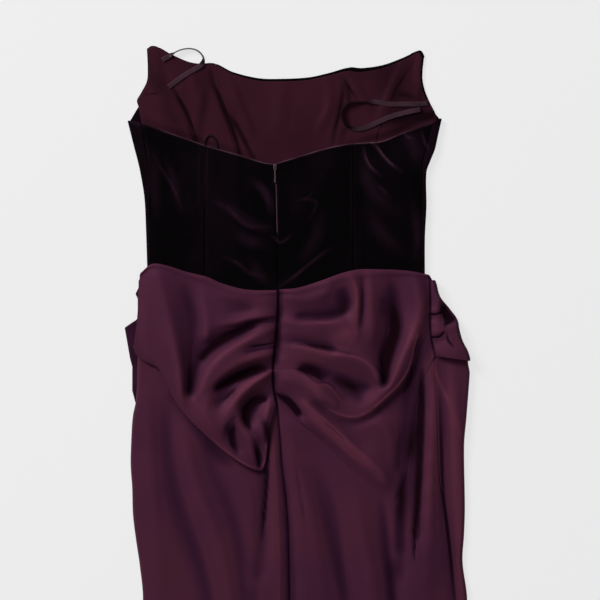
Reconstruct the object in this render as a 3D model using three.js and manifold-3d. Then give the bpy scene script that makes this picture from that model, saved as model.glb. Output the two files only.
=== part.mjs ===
import * as THREE from 'three';
import { mergeVertices } from 'three/addons/utils/BufferGeometryUtils.js';
import Module from 'manifold-3d';

const wasm = await Module();
wasm.setup();

// A strapless gown with a velvet bodice and a draped satin skirt, laid flat on its front.
// Millimetres, +Z up, +Y towards the neckline, the origin under the middle of the gown.

const cloth = { velvet: 2.0, satin: 1.5, lining: 1.0 };  // wall of each cloth
const seamGap = 0.3;
const waistGap = 0.8;         // between back bodice and back skirt, under the overlay
const liningInset = 1.5;      // lining stops short of the velvet's edge
const waist = 345;            // seam between front bodice and front skirt
const hem = -650;
const drapeHem = 185;         // hidden hem of the overlay's front
const bodiceAir = 3.0;        // air left between the two sides of the bodice
const skirtAir = 2.7;
const bodiceFold = 3.0;       // reach of the folded edge at each side
const skirtFold = 4.5;
const drapeRest = 0.8;        // the overlay rests this far above the skirt
const wrapRoom = 1.5;         // and this far outside it round the fold

const ribbonWidth = 3.2;
const eyeWidth = 2.0;
const zip = {
  top: 492, length: 7.6, plateWidth: 4.6, base: 0.7, tapeWidth: 8, tapeWall: 0.7,
  bridgeWidth: 1.8, bridgeHole: 2.0, bridgeWall: 0.7,
  pin: 0.9, armGap: 1.3, arm: 0.8, tongueStart: 2.3, tongueWidth: 2.6, endRadius: 1.3,
  pullLength: 21, pullSlope: 0.045,
};

const finishes = {
  velvet: { color: '#120a10', roughness: 0.9, metalness: 0 },
  satin: { color: '#451f31', roughness: 0.42, metalness: 0 },
  lining: { color: '#3a1b27', roughness: 0.55, metalness: 0 },
  ribbon: { color: '#31202a', roughness: 0.4, metalness: 0 },
  zipTape: { color: '#1c1218', roughness: 0.8, metalness: 0 },
  zipMetal: { color: '#6d6066', roughness: 0.35, metalness: 0.6 },
};

function table(columns, rows) {
  return rows.map((row) => Object.fromEntries(columns.map((name, i) => [name, row[i]])));
}

// Smooth curve through a table, giving one column for any value of another.
function smooth(rows, from, to) {
  const knots = [...rows].sort((a, b) => a[from] - b[from]);
  const slope = (i) => {
    const a = knots[Math.max(i - 1, 0)];
    const b = knots[Math.min(i + 1, knots.length - 1)];
    return (b[to] - a[to]) / (b[from] - a[from]);
  };
  return (value) => {
    const t = THREE.MathUtils.clamp(value, knots[0][from], knots.at(-1)[from]);
    let i = 0;
    while (i < knots.length - 2 && t > knots[i + 1][from]) i += 1;
    const span = knots[i + 1][from] - knots[i][from];
    const s = (t - knots[i][from]) / span;
    const rise = s * s * (3 - 2 * s);
    const start = slope(i) * span * s * (1 - s) * (1 - s);
    const end = slope(i + 1) * span * s * s * (1 - s);
    return THREE.MathUtils.lerp(knots[i][to], knots[i + 1][to], rise) + start - end;
  };
}

// Edges and seams seen from above: a rim gives y for x, a seam gives x for y.
const rim = (rows) => smooth(table(['x', 'y'], rows), 'x', 'y');
const seam = (rows) => smooth(table(['y', 'x'], rows), 'y', 'x');

const neckline = rim([[-196, 646], [-190, 650], [-180, 648], [-166, 640], [-144, 630], [-130, 627],
  [-107, 627], [-84, 616], [-51, 608], [-23, 607], [15, 609], [42, 615], [68, 622], [84, 621],
  [111, 625], [136, 634], [158, 644], [163, 642], [165, 636]]);
const backEdge = rim([[-203, 550], [-184, 543], [-144, 529], [-118, 520], [-76, 508], [-43, 498],
  [-29, 497], [-18, 500], [35, 516], [64, 522], [87, 524], [110, 526], [140, 538], [173, 549]]);
const backWaist = rim([[-197, 353], [-152, 346], [-116, 337], [-75, 322], [-28, 318], [3, 321],
  [44, 335], [82, 345], [134, 345], [172, 341]]);

const armholeLeft = seam([[646, -196], [621, -195], [604, -196], [588, -204], [579, -209], [571, -207]]);
const armholeRight = seam([[636, 165], [609, 163], [592, 166], [579, 171]]);
const bodiceLeft = seam([[552, -221], [532, -216], [516, -212], [501, -208], [483, -204], [451, -199],
  [410, -197], [345, -195]]);
const bodiceRight = seam([[555, 188], [533, 183], [515, 179], [500, 173], [485, 168], [441, 168],
  [400, 166], [345, 166]]);
const underarmLeft = seam([[571, -207], [550, -203], [500, -193], [450, -184], [345, -180]]);
const underarmRight = seam([[579, 171], [552, 181], [500, 160], [450, 153], [345, 151]]);
const sideBackLeft = seam([[550, -203], [533, -201], [495, -195], [449, -192], [345, -191]]);
const sideBackRight = seam([[549, 176], [533, 172], [515, 168], [500, 164], [485, 163], [345, 162]]);
const princessLeft = seam([[520, -118], [434, -120], [330, -121]]);
const princessRight = seam([[522, 73], [434, 73], [330, 73]]);
const centreBack = seam([[497, -29], [408, -27], [331, -25], [296, -26], [274, -28], [243, -31],
  [227, -32], [204, -31], [187, -27], [148, -23], [106, -20], [64, -15], [23, -12], [-71, -10],
  [-650, -4]]);
const frontSeams = {
  sideLeft: seam([[648, -182], [626, -175], [594, -161], [539, -134], [495, -123], [449, -119], [345, -121]]),
  cupLeft: seam([[627, -107], [592, -99], [547, -89], [512, -81], [462, -75], [410, -71], [345, -71]]),
  cupRight: seam([[622, 68], [605, 59], [555, 53], [521, 41], [475, 33], [423, 28], [345, 27]]),
  sideRight: seam([[638, 148], [605, 136], [581, 119], [531, 105], [488, 94], [436, 89], [345, 88]]),
};
const hipLeft = seam([[353, -197], [319, -205], [280, -207], [241, -208], [189, -210], [168, -214],
  [140, -216], [106, -217], [74, -215], [40, -214], [7, -210], [-27, -205], [-71, -201], [-300, -208],
  [-650, -217]]);
const hipRight = seam([[352, 175], [343, 180], [323, 186], [308, 198], [294, 208], [280, 211],
  [266, 215], [252, 222], [240, 225], [219, 224], [167, 220], [131, 217], [49, 218], [15, 217],
  [-21, 215], [-71, 221], [-300, 222], [-650, 224]]);
const sideSeam = seam([[352, 171], [315, 172], [280, 172], [266, 174], [246, 178], [110, 184],
  [81, 186], [49, 191], [7, 196], [-71, 205], [-300, 209], [-650, 212]]);

// Ends of the front pleats, which come out past the left hip.
const pleatEnds = table(['y', 'x'], [[344.7, -207], [335, -207], [327, -211], [321, -208], [306, -208],
  [294, -209], [283, -225], [272, -223], [255, -220], [243, -218], [232, -215], [201, -215], [185, -211]]);

// The overlay's free edges on the back, from the hip round the swag to the centre seam.
const leftSwag = table(['x', 'y'], [[-213, 258], [-210, 249], [-198, 239], [-181, 230], [-165, 198],
  [-144, 168], [-117, 141], [-86, 115], [-58, 99], [-47, 98], [-43, 106], [-40, 129], [-36, 157],
  [-28.2, 187]]);
const rightSwag = table(['x', 'y'], [[-26.8, 187], [5, 159], [40, 128], [70, 100], [96, 78], [113, 60],
  [123, 54], [134, 68], [144, 100], [151, 150], [160, 205], [178, 246]]);
const leftDrapeTop = rim([[-204, 354], [-189, 366], [-169, 364], [-144, 356], [-116, 349], [-98, 341],
  [-66, 333], [-25, 332]]);
const rightDrapeTop = rim([[-25, 333], [-1, 335], [26, 343], [60, 355], [80, 359], [110, 359],
  [135, 358], [152, 356], [171, 352]]);
const leftDrapeSide = seam([[354, -204], [337, -206], [296, -208], [271, -211], [258, -213]]);

// Folds: a ridge bends from its head through its middle to its tail, and keeps the given share
// of its rise at each end.
const foldColumns = ['headX', 'headY', 'midX', 'midY', 'tailX', 'tailY', 'rise', 'width', 'head', 'tail'];
const drapeFolds = table(foldColumns, [
  [-30, 315, -75, 312, -120, 300, 5, 20, 0.5, 0.0],
  [-32, 279, -75, 271, -120, 240, 9, 15, 0.5, 0.4],
  [-34, 246, -82, 240, -128, 188, 11, 16, 0.5, 0.3],
  [-36, 212, -72, 200, -92, 148, 10, 14, 0.5, 0.3],
  [-34, 190, -54, 150, -50, 110, 8, 12, 0.5, 0.4],
  [-170, 345, -155, 275, -150, 195, 7, 22, 0.2, 0.3],
  [-20, 312, 30, 315, 70, 318, 6, 20, 0.4, 0.4],
  [-22, 274, 40, 273, 92, 255, 8, 15, 0.5, 0.4],
  [-22, 243, 45, 234, 82, 190, 10, 18, 0.5, 0.4],
  [-20, 205, 42, 152, 112, 66, 10, 15, 0.6, 0.2],
  [164, 330, 148, 236, 66, 172, 9, 14, 0.3, 0.5],
  [90, 352, 93, 320, 88, 290, 5, 11, 0.3, 0.3],
  [140, 352, 141, 300, 132, 250, 6, 15, 0.3, 0.3],
]);
const skirtFolds = table(foldColumns, [
  [-166, 112, -126, 20, -100, -420, 3.5, 26, 0.0, 0.4],
  [-90, 75, -72, -60, -62, -650, 4.0, 22, 0.0, 1.0],
  [-50, 85, -44, -60, -42, -400, 3.5, 10, 0.0, 0.2],
  [42, 62, 60, -60, 66, -650, 4.0, 24, 0.0, 1.0],
  [118, 20, 128, -120, 130, -650, 4.0, 22, 0.0, 1.0],
  [178, 200, 186, 20, 192, -430, 3.0, 13, 0.0, 0.3],
  [-186, 90, -180, -150, -184, -650, 3.0, 18, 0.0, 0.9],
  [-130, -260, -134, -450, -140, -650, 3.5, 20, 0.0, 1.0],
  [10, -240, 6, -450, 4, -650, 3.5, 20, 0.0, 1.0],
]);
const foldSteps = 10;

function foldHeight(folds, x, y) {
  let height = 0;
  for (const fold of folds) {
    let nearest = Infinity;
    let along = 0;
    let last = null;
    for (let i = 0; i <= foldSteps; i += 1) {
      const s = i / foldSteps;
      const bend = 2 * s * (1 - s);
      const bowX = 2 * fold.midX - (fold.headX + fold.tailX) / 2;
      const bowY = 2 * fold.midY - (fold.headY + fold.tailY) / 2;
      const here = {
        x: (1 - s) * (1 - s) * fold.headX + bend * bowX + s * s * fold.tailX,
        y: (1 - s) * (1 - s) * fold.headY + bend * bowY + s * s * fold.tailY,
      };
      if (last) {
        const dx = here.x - last.x;
        const dy = here.y - last.y;
        const share = ((x - last.x) * dx + (y - last.y) * dy) / (dx * dx + dy * dy);
        const near = THREE.MathUtils.clamp(share, 0, 1);
        const distance = Math.hypot(x - last.x - near * dx, y - last.y - near * dy);
        if (distance < nearest) {
          nearest = distance;
          along = (i - 1 + near) / foldSteps;
        }
      }
      last = here;
    }
    if (nearest < fold.width) {
      const across = (1 + Math.cos((Math.PI * nearest) / fold.width)) / 2;
      const end = along < 0.5 ? fold.head : fold.tail;
      const swell = Math.sin(Math.PI * along);
      height += fold.rise * across * (end + (1 - end) * swell);
    }
  }
  return height;
}

// Undersides of the layers, each lying on the one before.
const frontLevel = () => 0;
const liningLevel = () => cloth.velvet + seamGap;
const backLevel = () => cloth.velvet + seamGap + cloth.lining + bodiceAir;
const hipLift = (y) => (cloth.satin + seamGap) * THREE.MathUtils.smoothstep(y, 118, 162);
const skirtFrontLevel = (x, y) => hipLift(y);
const skirtRest = (y) => hipLift(y) + cloth.satin + seamGap + skirtAir;
const skirtBackLevel = (x, y) => skirtRest(y) + foldHeight(skirtFolds, x, y);
const drapeLevel = (x, y) => skirtRest(y) + cloth.satin + drapeRest + foldHeight(drapeFolds, x, y);

// Edges as functions of a share from 0 to 1: down a seam, across a rim, or along a route.
const downSeam = (xOf, top, bottom, aside = 0) => (t) => {
  const y = THREE.MathUtils.lerp(top, bottom, t);
  return [xOf(y) + aside, y];
};
const acrossRim = (yOf, from, to, lower = 0) => (t) => {
  const x = THREE.MathUtils.lerp(from, to, t);
  return [x, yOf(x) - lower];
};
const straight = (y) => () => y;
const route = (rows) => {
  const points = rows.map((row) => new THREE.Vector3(row.x, row.y, 0));
  const curve = new THREE.CatmullRomCurve3(points, false, 'centripetal');
  return (t) => curve.getPointAt(t).toArray().slice(0, 2);
};

// A patch between four edges; the left and right edges fix its corners.
function patch(top, bottom, left, right) {
  const tie = (edge, start, end) => (u) => {
    const [a, b] = [edge(0), edge(1)];
    const point = edge(u);
    return point.map((value, i) => value + (1 - u) * (start[i] - a[i]) + u * (end[i] - b[i]));
  };
  const [topLeft, bottomLeft, topRight, bottomRight] = [left(0), left(1), right(0), right(1)];
  const upper = tie(top, topLeft, topRight);
  const lower = tie(bottom, bottomLeft, bottomRight);
  return (u, v) => [0, 1].map((i) => {
    const corners = (1 - u) * ((1 - v) * topLeft[i] + v * bottomLeft[i])
      + u * ((1 - v) * topRight[i] + v * bottomRight[i]);
    return (1 - v) * upper(u)[i] + v * lower(u)[i] + (1 - u) * left(v)[i] + u * right(v)[i] - corners;
  });
}

const between = (left, right) => (u, v) => {
  const [a, b] = [left(v), right(v)];
  return [THREE.MathUtils.lerp(a[0], b[0], u), THREE.MathUtils.lerp(a[1], b[1], u)];
};

const gown = new THREE.Group();

function addMesh(name, finish, geometry) {
  const mesh = new THREE.Mesh(geometry, new THREE.MeshStandardMaterial(finishes[finish]));
  mesh.name = name;
  gown.add(mesh);
  return mesh;
}

// A cloth wall from rows of outer and inner points, closed round its rim.
function addWall(name, finish, outer, inner) {
  const rows = outer.length;
  const columns = outer[0].length;
  const index = (side, i, j) => side * rows * columns + i * columns + j;
  const triangles = [];
  const quad = (a, b, c, d) => triangles.push(a, b, c, a, c, d);
  for (let i = 0; i < rows - 1; i += 1) {
    for (let j = 0; j < columns - 1; j += 1) {
      quad(index(0, i, j), index(0, i + 1, j), index(0, i + 1, j + 1), index(0, i, j + 1));
      quad(index(1, i, j), index(1, i, j + 1), index(1, i + 1, j + 1), index(1, i + 1, j));
    }
    quad(index(0, i, 0), index(1, i, 0), index(1, i + 1, 0), index(0, i + 1, 0));
    const end = columns - 1;
    quad(index(0, i, end), index(0, i + 1, end), index(1, i + 1, end), index(1, i, end));
  }
  for (let j = 0; j < columns - 1; j += 1) {
    quad(index(0, 0, j), index(0, 0, j + 1), index(1, 0, j + 1), index(1, 0, j));
    const end = rows - 1;
    quad(index(0, end, j), index(1, end, j), index(1, end, j + 1), index(0, end, j + 1));
  }
  const geometry = new THREE.BufferGeometry();
  const positions = [...outer.flat(2), ...inner.flat(2)];
  geometry.setAttribute('position', new THREE.Float32BufferAttribute(positions, 3));
  geometry.setIndex(triangles);
  geometry.computeVertexNormals();
  return addMesh(name, finish, geometry);
}

const shares = (count) => Array.from({ length: count + 1 }, (_, i) => i / count);
const sideRows = shares(7);
const frontRows = shares(10);
const underarmShare = 0.3;      // the first rows of a front side piece follow the armhole
const drapeRows = shares(14);
const skirtRows = shares(20).map((t) => t ** 1.6);    // closer together at the hip

// A piece lying in one layer.
function addFlatPiece({ name, finish, wall, shape, underside, columns, rows }) {
  const lay = (rise) => rows.map((v) => shares(columns).map((u) => {
    const [x, y] = shape(u, v);
    return [x, y, underside(x, y) + rise];
  }));
  return addWall(name, finish, lay(wall), lay(0));
}

// A piece that lies in the upper layer, turns round the folded side and goes on underneath.
function addFoldedPiece(piece) {
  const { name, finish, wall, side, radius, upper, under, upperLevel, underLevel, rows } = piece;
  const { upperColumns, foldColumns: turns, underColumns } = piece;
  const lay = (isOuter) => rows.map((v) => {
    const line = [];
    for (const u of shares(upperColumns)) {
      const [x, y] = upper(u, v);
      line.push([x, y, upperLevel(x, y) + (isOuter ? wall : 0)]);
    }
    const [x, y] = upper(1, v);
    const top = upperLevel(x, y) + wall;
    const bottom = underLevel(x, y);
    const inset = isOuter ? 0 : wall;
    for (let i = 1; i < turns; i += 1) {
      const angle = Math.PI * (0.5 - i / turns);
      const across = side * (radius - inset) * Math.cos(angle);
      const high = ((top - bottom) / 2 - inset) * Math.sin(angle);
      line.push([x + across, y, (top + bottom) / 2 + high]);
    }
    for (const u of shares(underColumns)) {
      const [lowX, lowY] = under(u, v);
      line.push([lowX, lowY, underLevel(lowX, lowY) + inset]);
    }
    return side > 0 ? line : line.reverse();
  });
  return addWall(name, finish, lay(true), lay(false));
}

const half = seamGap / 2;

// Where a back seam meets the waist.
function seamFoot(xOf) {
  let y = waist;
  for (let i = 0; i < 8; i += 1) y = backWaist(xOf(y));
  return y;
}

function addBackBodice() {
  const pieces = table(['name', 'left', 'right', 'startTop', 'endTop', 'leftGap', 'rightGap'], [
    ['back_side_left', sideBackLeft, princessLeft, -203, -118, half, -half],
    ['back_centre_left', princessLeft, centreBack, -118, -29, half, -2 * half],
    ['back_centre_right', centreBack, princessRight, -29, 73, 2 * half, -half],
    ['back_side_right', princessRight, sideBackRight, 73, 176, half, -half],
  ]);
  for (const piece of pieces) {
    const top = acrossRim(backEdge, piece.startTop, piece.endTop);
    const left = downSeam(piece.left, top(0)[1], seamFoot(piece.left), piece.leftGap);
    const right = downSeam(piece.right, top(1)[1], seamFoot(piece.right), piece.rightGap);
    const bottom = acrossRim(backWaist, left(1)[0], right(1)[0]);
    addFlatPiece({
      name: piece.name, finish: 'velvet', wall: cloth.velvet, shape: patch(top, bottom, left, right),
      underside: backLevel, columns: 4, rows: sideRows,
    });
  }
}

// Underarm pieces, folded round each side of the bodice.
function addBodiceSide(name, side, silhouette, backSeam, frontSeam, heights) {
  const low = waist + half;
  const foldLine = downSeam(silhouette, heights.corner, low, -side * bodiceFold);
  const seamOnBack = downSeam(backSeam, heights.back, seamFoot(backSeam), side * half);
  const seamOnFront = downSeam(frontSeam, heights.front, low, side * half);
  addFoldedPiece({
    name, finish: 'velvet', wall: cloth.velvet, side, radius: bodiceFold,
    upper: between(seamOnBack, foldLine), under: between(foldLine, seamOnFront),
    upperLevel: backLevel, underLevel: frontLevel, rows: sideRows,
    upperColumns: 1, foldColumns: 6, underColumns: 2,
  });
}

// The front bodice lies underneath; its lining is cut the same and stops inside its edges.
function addFrontBodice() {
  const seams = Object.values(frontSeams);
  const tops = [-196, -182, -107, 68, 148, 165];
  const names = ['side_left', 'cup_left', 'centre', 'cup_right', 'side_right'];
  // A side edge follows the armhole down to the underarm and then the underarm seam.
  const sideEdge = (armhole, underarm, top, notch, low, armGap, seamAside) => (t) => {
    if (t <= underarmShare) return downSeam(armhole, top, notch, armGap)(t / underarmShare);
    return downSeam(underarm, notch, low, seamAside)((t - underarmShare) / (1 - underarmShare));
  };
  const layers = table(['part', 'finish', 'wall', 'underside', 'inset', 'low'], [
    ['front', 'velvet', cloth.velvet, frontLevel, 0, waist + half],
    ['lining', 'lining', cloth.lining, liningLevel, liningInset, 440],
  ]);
  for (const layer of layers) {
    names.forEach((name, i) => {
      const top = acrossRim(neckline, tops[i], tops[i + 1], layer.inset);
      const [startY, endY] = [top(0)[1], top(1)[1]];
      const left = i === 0
        ? sideEdge(armholeLeft, underarmLeft, startY, 571, layer.low, layer.inset, half)
        : downSeam(seams[i - 1], startY, layer.low, half);
      const right = i === 4
        ? sideEdge(armholeRight, underarmRight, endY, 579, layer.low, -layer.inset, -half)
        : downSeam(seams[i], endY, layer.low, -half);
      const bottom = acrossRim(straight(layer.low), left(1)[0], right(1)[0]);
      addFlatPiece({
        name: `${layer.part}_${name}`, finish: layer.finish, wall: layer.wall,
        shape: patch(top, bottom, left, right), underside: layer.underside,
        columns: i === 2 ? 5 : 3, rows: frontRows,
      });
    });
  }
}

function addSkirt() {
  const frontTop = waist - half;
  const backTop = { centre: backWaist(-25), right: backWaist(171) };
  const foldLeft = downSeam(hipLeft, frontTop, hem, skirtFold);
  const centreLeft = downSeam(centreBack, backTop.centre - waistGap, hem, -half);
  const centreRight = downSeam(centreBack, backTop.centre - waistGap, hem, half);
  const sideOnBack = downSeam(sideSeam, backTop.right - waistGap, hem, -half);
  const frontTuck = 12;       // how far the left back turns under
  const leftUpper = patch(acrossRim(backWaist, -192, -25, waistGap), acrossRim(straight(hem), -212, -4),
    foldLeft, centreLeft);
  const turned = (t) => [foldLeft(t)[0] + frontTuck, foldLeft(t)[1]];
  addFoldedPiece({
    name: 'skirt_back_left', finish: 'satin', wall: cloth.satin, side: -1, radius: skirtFold,
    upper: (u, v) => leftUpper(1 - u, v), under: between(foldLeft, turned),
    upperLevel: skirtBackLevel, underLevel: skirtFrontLevel, rows: skirtRows,
    upperColumns: 9, foldColumns: 4, underColumns: 1,
  });
  addFlatPiece({
    name: 'skirt_back_right', finish: 'satin', wall: cloth.satin,
    shape: patch(acrossRim(backWaist, -25, 171, waistGap), acrossRim(straight(hem), -4, 212),
      centreRight, sideOnBack),
    underside: skirtBackLevel, columns: 10, rows: skirtRows,
  });

  // The front skirt wraps the right fold, inside the overlay where that covers it.
  const inside = (y) => (cloth.satin + wrapRoom) * THREE.MathUtils.smoothstep(y, 205, 236);
  const wrapEdge = (y) => hipRight(y) - inside(y) - skirtFold;
  const foldRight = downSeam(wrapEdge, frontTop, hem);
  const sideOnFront = downSeam(sideSeam, backTop.right - waistGap, hem, half);
  const leftSeamX = (y) => hipLeft(y) + skirtFold + frontTuck + seamGap;
  addFoldedPiece({
    name: 'skirt_front', finish: 'satin', wall: cloth.satin, side: 1, radius: skirtFold,
    upper: between(sideOnFront, foldRight),
    under: between(foldRight, downSeam(leftSeamX, frontTop, hem)),
    upperLevel: skirtBackLevel, underLevel: skirtFrontLevel, rows: skirtRows,
    upperColumns: 2, foldColumns: 4, underColumns: 6,
  });
}

function addDrapes() {
  const centreLow = 187;        // foot of the pleated seam
  const pleatRoom = 0.5;        // each swag stands this much clear of the centre seam
  const left = {
    top: acrossRim(leftDrapeTop, -204, -25),
    side: downSeam(leftDrapeSide, 354, 258),
    centre: downSeam(centreBack, 332, centreLow, -half - pleatRoom),
    swag: route(leftSwag),
  };
  addFlatPiece({
    name: 'drape_back_left', finish: 'satin', wall: cloth.satin,
    shape: patch(left.top, left.swag, left.side, left.centre),
    underside: drapeLevel, columns: 17, rows: drapeRows,
  });
  const right = {
    top: acrossRim(rightDrapeTop, -25, 171),
    centre: downSeam(centreBack, 333, centreLow, half + pleatRoom),
    side: downSeam(sideSeam, 352, 246, -half),
    swag: route(rightSwag),
  };
  addFlatPiece({
    name: 'drape_back_right', finish: 'satin', wall: cloth.satin,
    shape: patch(right.top, right.swag, right.centre, right.side),
    underside: drapeLevel, columns: 17, rows: drapeRows,
  });

  // The overlay's front: pleat ends past the left hip, and a wrap round the right fold.
  const top = waist - half;
  const pleats = (t) => {
    const y = THREE.MathUtils.lerp(top, drapeHem, t);
    const after = pleatEnds.findIndex((row) => row.y <= y + 1e-6);
    const [a, b] = [pleatEnds[Math.max(after - 1, 0)], pleatEnds[after]];
    const share = a === b ? 0 : (a.y - y) / (a.y - b.y);
    return [THREE.MathUtils.lerp(a.x, b.x, share), y];
  };
  const wrapLow = 240;
  const foldX = (y) => hipRight(y) - skirtFold;
  const foldUpper = downSeam(foldX, top, wrapLow);
  const sideOnFront = downSeam(sideSeam, 352, 246, half);
  addFoldedPiece({
    name: 'drape_front', finish: 'satin', wall: cloth.satin, side: 1, radius: skirtFold,
    upper: between(sideOnFront, foldUpper),
    under: between(foldUpper, pleats),
    upperLevel: drapeLevel, underLevel: frontLevel, rows: drapeRows,
    upperColumns: 3, foldColumns: 4, underColumns: 6,
  });
}

// One closed geometry from several that run into each other.
function joined(...geometries) {
  const solids = geometries.map((geometry) => {
    geometry.deleteAttribute('normal');
    geometry.deleteAttribute('uv');
    const merged = mergeVertices(geometry);
    const vertProperties = new Float32Array(merged.attributes.position.array);
    const triVerts = new Uint32Array(merged.index.array);
    return new wasm.Manifold(new wasm.Mesh({ numProp: 3, vertProperties, triVerts }));
  });
  const mesh = solids.reduce((a, b) => a.add(b)).getMesh();
  const geometry = new THREE.BufferGeometry();
  geometry.setAttribute('position', new THREE.Float32BufferAttribute(mesh.vertProperties, 3));
  geometry.setIndex([...mesh.triVerts]);
  geometry.computeVertexNormals();
  return geometry;
}

// A round strand along a route.
function addStrand(name, finish, points, width, steps) {
  const sides = 8;
  const section = new THREE.Shape(shares(sides).slice(0, sides).map((t) => new THREE.Vector2(
    (width / 2) * Math.cos(2 * Math.PI * t), (width / 2) * Math.sin(2 * Math.PI * t))));
  const path = new THREE.CatmullRomCurve3(points.map((p) => new THREE.Vector3(p.x, p.y, p.z)));
  const options = { steps, extrudePath: path, bevelEnabled: false };
  return addMesh(name, finish, new THREE.ExtrudeGeometry(section, options));
}

function addLoops() {
  const ribbonColumns = ['x', 'y', 'z'];
  addStrand('hanger_loop_right', 'ribbon', table(ribbonColumns, [
    [170, 575, 5.2], [157, 574, 5.2], [143, 574, 5.2], [120, 574, 5.2], [99, 577, 5.2],
    [81, 577, 5.2], [65, 575, 5.2], [59, 569, 5.2], [57, 560, 5.2], [61, 549, 5.2], [72, 542, 5.2],
    [83, 542, 5.2], [93, 545, 5.2], [106, 551, 5.2], [120, 557, 5.2], [137, 562, 5.2], [160, 567, 5.2],
  ]), ribbonWidth, 26);
  addStrand('hanger_loop_left', 'ribbon', table(ribbonColumns, [
    [-176, 631, 5.2], [-169, 635, 5.2], [-161, 640, 4.8], [-153, 644, 3.6], [-145, 646, 2.4],
    [-138, 646, 2.0], [-131, 644, 2.2], [-125, 639, 3.2], [-122, 633, 4.6], [-124, 626, 5.2],
    [-129, 622, 5.2], [-141, 615, 5.2], [-153, 607, 5.2], [-161, 601, 5.2], [-168, 596, 5.2],
  ]), ribbonWidth, 22);
  addStrand('eye_loop', 'ribbon', table(ribbonColumns, [
    [-122, 518, 4.8], [-120, 528, 4.8], [-116, 533, 4.8], [-111, 532.5, 4.8], [-107, 528, 4.8],
    [-105, 521, 4.8], [-104, 512, 4.8],
  ]), eyeWidth, 12);
}

// A concealed zip at the centre back: its tape lies inside, its slider at the top edge, and its
// pull turns on the slider's bridge.
function addZip() {
  const tapeTop = backLevel() - seamGap;
  addFlatPiece({
    name: 'zip_tape', finish: 'zipTape', wall: zip.tapeWall,
    shape: between(downSeam(centreBack, 492, 330, -zip.tapeWidth / 2),
      downSeam(centreBack, 492, 330, zip.tapeWidth / 2)),
    underside: () => tapeTop - zip.tapeWall, columns: 2, rows: shares(6),
  });
  const base = backLevel() + cloth.velvet + seamGap;
  const pivot = { x: centreBack(zip.top), y: zip.top, z: base + zip.base + zip.bridgeHole / 2 };

  // Slider: a plate, and a bridge whose hole runs across the gown.
  const { bridgeHole, bridgeWall, bridgeWidth } = zip;
  const reach = bridgeHole / 2 + bridgeWall;
  const foot = -bridgeHole / 2 - zip.base / 2;
  const arch = new THREE.Shape();
  arch.moveTo(-reach, foot);
  arch.lineTo(reach, foot);
  arch.absarc(0, 0, reach, 0, Math.PI, false);
  const eye = new THREE.Path();
  eye.absarc(0, 0, bridgeHole / 2, 0, 2 * Math.PI, true);
  arch.holes.push(eye);
  const turned = new THREE.Matrix4().makeBasis(
    new THREE.Vector3(0, 1, 0), new THREE.Vector3(0, 0, 1), new THREE.Vector3(1, 0, 0));
  const bridge = new THREE.ExtrudeGeometry(arch, { depth: bridgeWidth, bevelEnabled: false, curveSegments: 8 })
    .translate(0, 0, -bridgeWidth / 2).applyMatrix4(turned);
  const plate = new THREE.CylinderGeometry(zip.plateWidth / 2, zip.plateWidth / 2, zip.base, 16)
    .rotateX(Math.PI / 2).scale(1, zip.length / zip.plateWidth, 1)
    .translate(0, 0, -bridgeHole / 2 - zip.base / 2);
  const slider = addMesh('zip_slider', 'zipMetal', joined(plate, bridge));
  slider.position.set(pivot.x, pivot.y, pivot.z);

  // Pull: a pin through the bridge, two arms and a tongue with a round end.
  const tongue = new THREE.Shape();
  const { pin, armGap, arm, tongueWidth, pullLength } = zip;
  const outer = armGap + arm;
  tongue.moveTo(-outer, pin / 2);
  tongue.lineTo(-outer, -zip.tongueStart - arm);
  tongue.lineTo(-tongueWidth / 2, -zip.tongueStart - 2 * arm);
  tongue.lineTo(-tongueWidth / 2, -pullLength + zip.endRadius);
  tongue.absarc(0, -pullLength + zip.endRadius, zip.endRadius, Math.PI, 2 * Math.PI, false);
  tongue.lineTo(tongueWidth / 2, -zip.tongueStart - 2 * arm);
  tongue.lineTo(outer, -zip.tongueStart - arm);
  tongue.lineTo(outer, pin / 2);
  const gap = new THREE.Path([[-armGap, -pin / 2], [armGap, -pin / 2], [armGap, -zip.tongueStart],
    [-armGap, -zip.tongueStart]].map(([x, y]) => new THREE.Vector2(x, y)));
  tongue.holes.push(gap);
  const pull = addMesh('zip_pull', 'zipMetal', new THREE.ExtrudeGeometry(tongue, { depth: pin,
    bevelEnabled: false, curveSegments: 8 }).translate(0, 0, -pin / 2));
  pull.rotation.x = zip.pullSlope;
  pull.position.set(pivot.x, pivot.y, pivot.z);
}

addBackBodice();
addBodiceSide('side_left', -1, bodiceLeft, sideBackLeft, underarmLeft, { corner: 552, back: 550, front: 571 });
addBodiceSide('side_right', 1, bodiceRight, sideBackRight, underarmRight, { corner: 555, back: 549, front: 579 });
addFrontBodice();
addSkirt();
addDrapes();
addZip();
addLoops();

export default gown;
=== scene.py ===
import bpy
import math
import numpy as np
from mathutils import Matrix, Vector


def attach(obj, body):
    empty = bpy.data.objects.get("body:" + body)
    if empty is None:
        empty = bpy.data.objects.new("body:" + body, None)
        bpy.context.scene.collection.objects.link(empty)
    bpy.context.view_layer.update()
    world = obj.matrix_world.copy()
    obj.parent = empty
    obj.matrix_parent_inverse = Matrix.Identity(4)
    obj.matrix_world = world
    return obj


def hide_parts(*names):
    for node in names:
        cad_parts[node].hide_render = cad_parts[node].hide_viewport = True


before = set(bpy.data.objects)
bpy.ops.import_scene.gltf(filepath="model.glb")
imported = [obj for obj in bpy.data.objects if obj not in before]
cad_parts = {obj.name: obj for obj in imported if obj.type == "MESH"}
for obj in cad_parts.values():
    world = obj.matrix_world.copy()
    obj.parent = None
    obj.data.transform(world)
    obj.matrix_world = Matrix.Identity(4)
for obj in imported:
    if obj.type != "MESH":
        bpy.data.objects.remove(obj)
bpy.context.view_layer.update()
scene = bpy.context.scene
mm = 0.001  # everything below is in millimetres until it becomes a mesh


# camera, light and floor

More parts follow.
